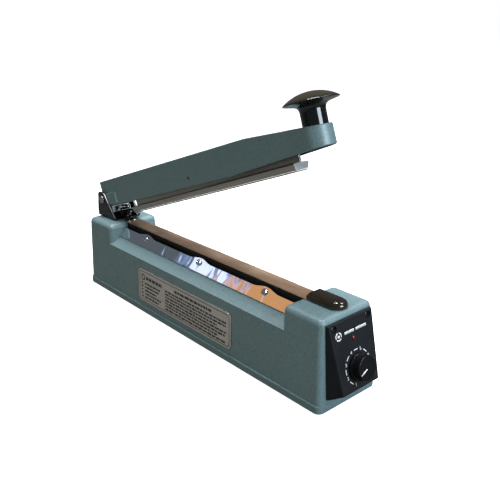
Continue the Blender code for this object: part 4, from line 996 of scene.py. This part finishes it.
def build_nameplate():
    matrix = nameplate_frame()
    from_cad("nameplate", "nameplate_foil", "base", 0.00012, 2)
    low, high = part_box("nameplate")
    rng = random.Random(11)
    bars = border_outlines(high.x - low.x)
    bars.append(ring_outline(0.0034, 0.0016, 0, 350, (PLATE_MARK[0], PLATE_HEIGHT - PLATE_MARK[1])))
    bars += word_outlines(rng, LEFT_HEADING[0], PLATE_HEIGHT - LEFT_HEADING[1], LEFT_LENGTH, 0.0038)
    for i in range(LEFT_COUNT):
        y = PLATE_HEIGHT - LEFT_ROWS[1] - LEFT_PITCH * i
        bars.append(bar_outline(BULLET_X, y, 0.0034, 0.0024))
        bars += word_outlines(rng, LEFT_ROWS[0], y, LEFT_LENGTH - 0.005 * (i % 3), 0.0024)
    bars += word_outlines(rng, RIGHT_HEADING[0], PLATE_HEIGHT - RIGHT_HEADING[1], 0.072, 0.0032)
    for i in range(RIGHT_COUNT):
        y = PLATE_HEIGHT - RIGHT_ROWS[1] - RIGHT_PITCH * i
        shortened = 0.016 if i % 3 == 2 else 0.0
        bars += word_outlines(rng, RIGHT_ROWS[0], y, RIGHT_LENGTH - shortened, 0.0023)
    mesh = prism_mesh("nameplate_print_mesh", bars, -PLATE_PRINT_SINK, PLATE_PRINT_RAISE)
    add_piece("nameplate_print", mesh, "dark_print", "base", matrix)


# ---------------------------------------------------------------- feet, screws and rear fittings
def build_foot(node):
    low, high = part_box(node)
    radius, tall = (high.x - low.x) / 2, high.z - low.z
    outline = [(0.0, 0.0), (radius, 0.0), (radius, -0.55 * tall), (0.82 * radius, -tall)]
    outline += [(0.35 * radius, -tall), (0.3 * radius, -0.6 * tall), (0.0, -0.6 * tall)]
    mesh = lathe_mesh(node + "_mesh", fillet(outline, 0.0008, 4), 48)
    place = Matrix.Translation(((low.x + high.x) / 2, (low.y + high.y) / 2, high.z))
    add_piece(node + "_moulded", mesh, "rubber", "base", place, [node])


def build_feet_and_screws():
    for corner in ("rear_right", "rear_left", "front_right", "front_left"):
        build_foot("foot_" + corner)
        cross_screw("plate_screw_" + corner, "zinc", "base", (0, 0, -1), PLATE_SCREW)
    forward = ARM_FRAME.to_3x3() @ Vector((1, 0, 0))
    for name in ("left", "right"):
        cross_screw("bracket_screw_" + name, "zinc", "base", (0, 0, 1), BRACKET_SCREW)
        cross_screw("hinge_plate_screw_" + name, "black_steel", "arm", forward, HINGE_PLATE_SCREW)


def rear_fitting(node):
    """A rear wall fitting's axes, Z outward from its inner end, and its length."""
    low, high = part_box(node)
    inner_end = (high.x, (low.y + high.y) / 2, (low.z + high.z) / 2)
    return axis_frame(inner_end, (-1, 0, 0)), high.x - low.x


def build_grommet():
    matrix, back = rear_fitting("cord_grommet")
    bore, neck, collar, flange = 0.0035, 0.0055, 0.0072, 0.0078
    flange_foot, neck_foot = back - 0.0026, back - 0.0092
    outline = [(bore, back), (0.0062, back), (flange, back - 0.0012), (flange, flange_foot),
               (neck, flange_foot), (neck, neck_foot), (collar, neck_foot), (collar, 0.0),
               (bore, 0.0), (bore, back)]
    mesh = lathe_mesh("cord_grommet_mesh", fillet(outline, 0.0005, 4), 48)
    add_piece("cord_grommet_moulded", mesh, "rubber", "base", matrix, ["cord_grommet"])


def build_fuse_holder():
    """A grooved cap with a slot for a screwdriver, on a flanged barrel."""
    matrix, back = rear_fitting("fuse_holder")
    cap, flange, barrel = 0.0058, 0.0084, 0.0065
    flange_foot = back - 0.0079

    def grooved(radius, height, angle):
        on_cap = back - 0.0078 < height < back - 0.0012 and 0.0054 < radius < 0.0060
        return radius - 0.00025 * max(0.0, math.cos(20 * angle)) if on_cap else radius

    outline = [(0.0, back), (0.0050, back), (cap, back - 0.0007), (cap, back - 0.0055),
               (flange, back - 0.0059), (flange, flange_foot), (barrel, flange_foot), (barrel, 0.0),
               (0.0, 0.0)]
    mesh = lathe_mesh("fuse_holder_mesh", fillet(outline, 0.0003, 3), 120, grooved)
    holder = add_piece("fuse_holder_moulded", mesh, "black_plastic", "base", matrix, ["fuse_holder"])
    length, width = 0.0072, 0.0012
    slot = bar_outline(-length / 2, -width / 2, length, width)
    cut_from(holder, prism_mesh("slot", [slot], back - 0.0012, back + 0.001))


def finish_cad_nodes():
    """The CAD nodes that still show get the material of their slot."""
    slots = {row["node"]: row["material_slot"] for row in frame["record"]["subparts"]}
    for name, obj in frame["nodes"].items():
        if obj.hide_render:
            continue
        obj.data.materials.clear()
        obj.data.materials.append(materials[slots[name]])


# ---------------------------------------------------------------- stage, light and camera
FLOOR_Z = cad_box[0].z
FOCUS = Vector((0.0, 0.0, 0.1))
STRIP_AIM = Vector((0.05, -0.02, 0.08))


def add_area(name, place, target, size, power, colour):
    light = bpy.data.lights.new(name, "AREA")
    light.shape = "SQUARE"
    light.size = size
    light.energy = power
    light.color = colour
    obj = bpy.data.objects.new(name, light)
    obj.matrix_world = axis_frame(place, Vector(place) - Vector(target))
    bpy.context.scene.collection.objects.link(obj)
    return obj


def split_rays(tree, lit, seen, output):
    """Shows the camera one shader while every other ray meets another."""
    path = tree.nodes.new("ShaderNodeLightPath")
    mix = tree.nodes.new("ShaderNodeMixShader")
    tree.links.new(path.outputs["Is Camera Ray"], mix.inputs["Fac"])
    tree.links.new(lit.outputs[0], mix.inputs[1])
    tree.links.new(seen.outputs[0], mix.inputs[2])
    tree.links.new(mix.outputs[0], output.inputs["Surface"])


def build_floor():
    """A wide white disc that looks white but throws little light back at the object."""
    mesh = prism_mesh("floor_mesh", [arc((0, 0), 6.0, 0, 354, 59)], FLOOR_Z - 0.01, FLOOR_Z - 0.0001)
    floor = bpy.data.objects.new("floor", mesh)
    bpy.context.scene.collection.objects.link(floor)
    material = new_material("floor_white", (0.6, 0.6, 0.6), 0.95, 0.0, Emission_Color=(1, 1, 1, 1),
                            Emission_Strength=0.95)
    tree = material.node_tree
    dim = tree.nodes.new("ShaderNodeBsdfDiffuse")
    dim.inputs["Color"].default_value = (0.12, 0.12, 0.11, 1.0)
    split_rays(tree, dim, tree.nodes["Principled BSDF"], tree.nodes["Material Output"])
    mesh.materials.append(material)


def build_world():
    """White to look at, with a faint blue light of its own."""
    world = bpy.data.worlds.new("studio")
    bpy.context.scene.world = world
    world.use_nodes = True
    tree = world.node_tree
    background = tree.nodes["Background"]
    background.inputs["Color"].default_value = (0.76, 0.88, 1.0, 1.0)
    background.inputs["Strength"].default_value = 0.14
    white = tree.nodes.new("ShaderNodeBackground")
    white.inputs["Color"].default_value = (1.0, 1.0, 1.0, 1.0)
    split_rays(tree, background, white, tree.nodes["World Output"])


def build_lights():
    add_area("overhead", (-0.15, 0.12, 1.5), FOCUS, 0.5, 44.0, (0.94, 0.95, 1.0))
    fill = add_area("fill", (0.4, -2.1, 0.8), FOCUS, 1.6, 14.5, (1.0, 0.98, 0.88))
    fill.visible_glossy = False
    add_area("front", (1.7, 0.2, 0.78), FOCUS, 0.9, 35.0, (0.78, 0.9, 1.0))
    add_area("behind", (0.6, 0.85, 1.6), FOCUS, 0.45, 13.0, (0.95, 0.97, 1.0))
    # three small lamps that the polished strip mirrors as coloured patches
    add_area("side_blue", (-1.36, -0.92, 0.95), STRIP_AIM, 0.22, 0.062, (0.26, 0.46, 1.0))
    add_area("side_white", (-1.25, -0.83, 0.87), STRIP_AIM, 0.11, 0.033, (0.95, 0.97, 1.0))
    add_area("side_warm", (-1.01, -0.925, 0.965), STRIP_AIM, 0.29, 0.165, (1.0, 0.38, 0.02))


CAMERA_PLACE = BODY_ORIGIN + Vector((0.5833, -0.4262, 0.3634))
CAMERA_RIGHT = Vector((0.652, 0.758, -0.021))
CAMERA_BACK = Vector((0.714, -0.605, 0.352))
CAMERA_LENS = 46.97
SENSOR = 36.0


def build_camera():
    back = CAMERA_BACK.normalized()
    right = (CAMERA_RIGHT - back * CAMERA_RIGHT.dot(back)).normalized()
    up = back.cross(right)
    data = bpy.data.cameras.new("camera")
    data.lens = CAMERA_LENS
    data.sensor_width = SENSOR
    data.clip_start = 0.01
    camera = bpy.data.objects.new("camera", data)
    basis = Matrix((right, up, back)).transposed().to_4x4()
    camera.matrix_world = Matrix.Translation(CAMERA_PLACE) @ basis
    bpy.context.scene.collection.objects.link(camera)
    bpy.context.scene.camera = camera
    bpy.context.scene.view_settings.view_transform = "Standard"


build_castings()
build_metalwork()
build_bracket_edges()
build_hinge_pin()
build_return_spring()
build_strips()
build_tape()
build_terminal_cover()
build_handle()
build_console()
build_timer_knob()
build_nameplate()
build_feet_and_screws()
build_grommet()
build_fuse_holder()
finish_cad_nodes()
build_floor()
build_world()
build_lights()
build_camera()
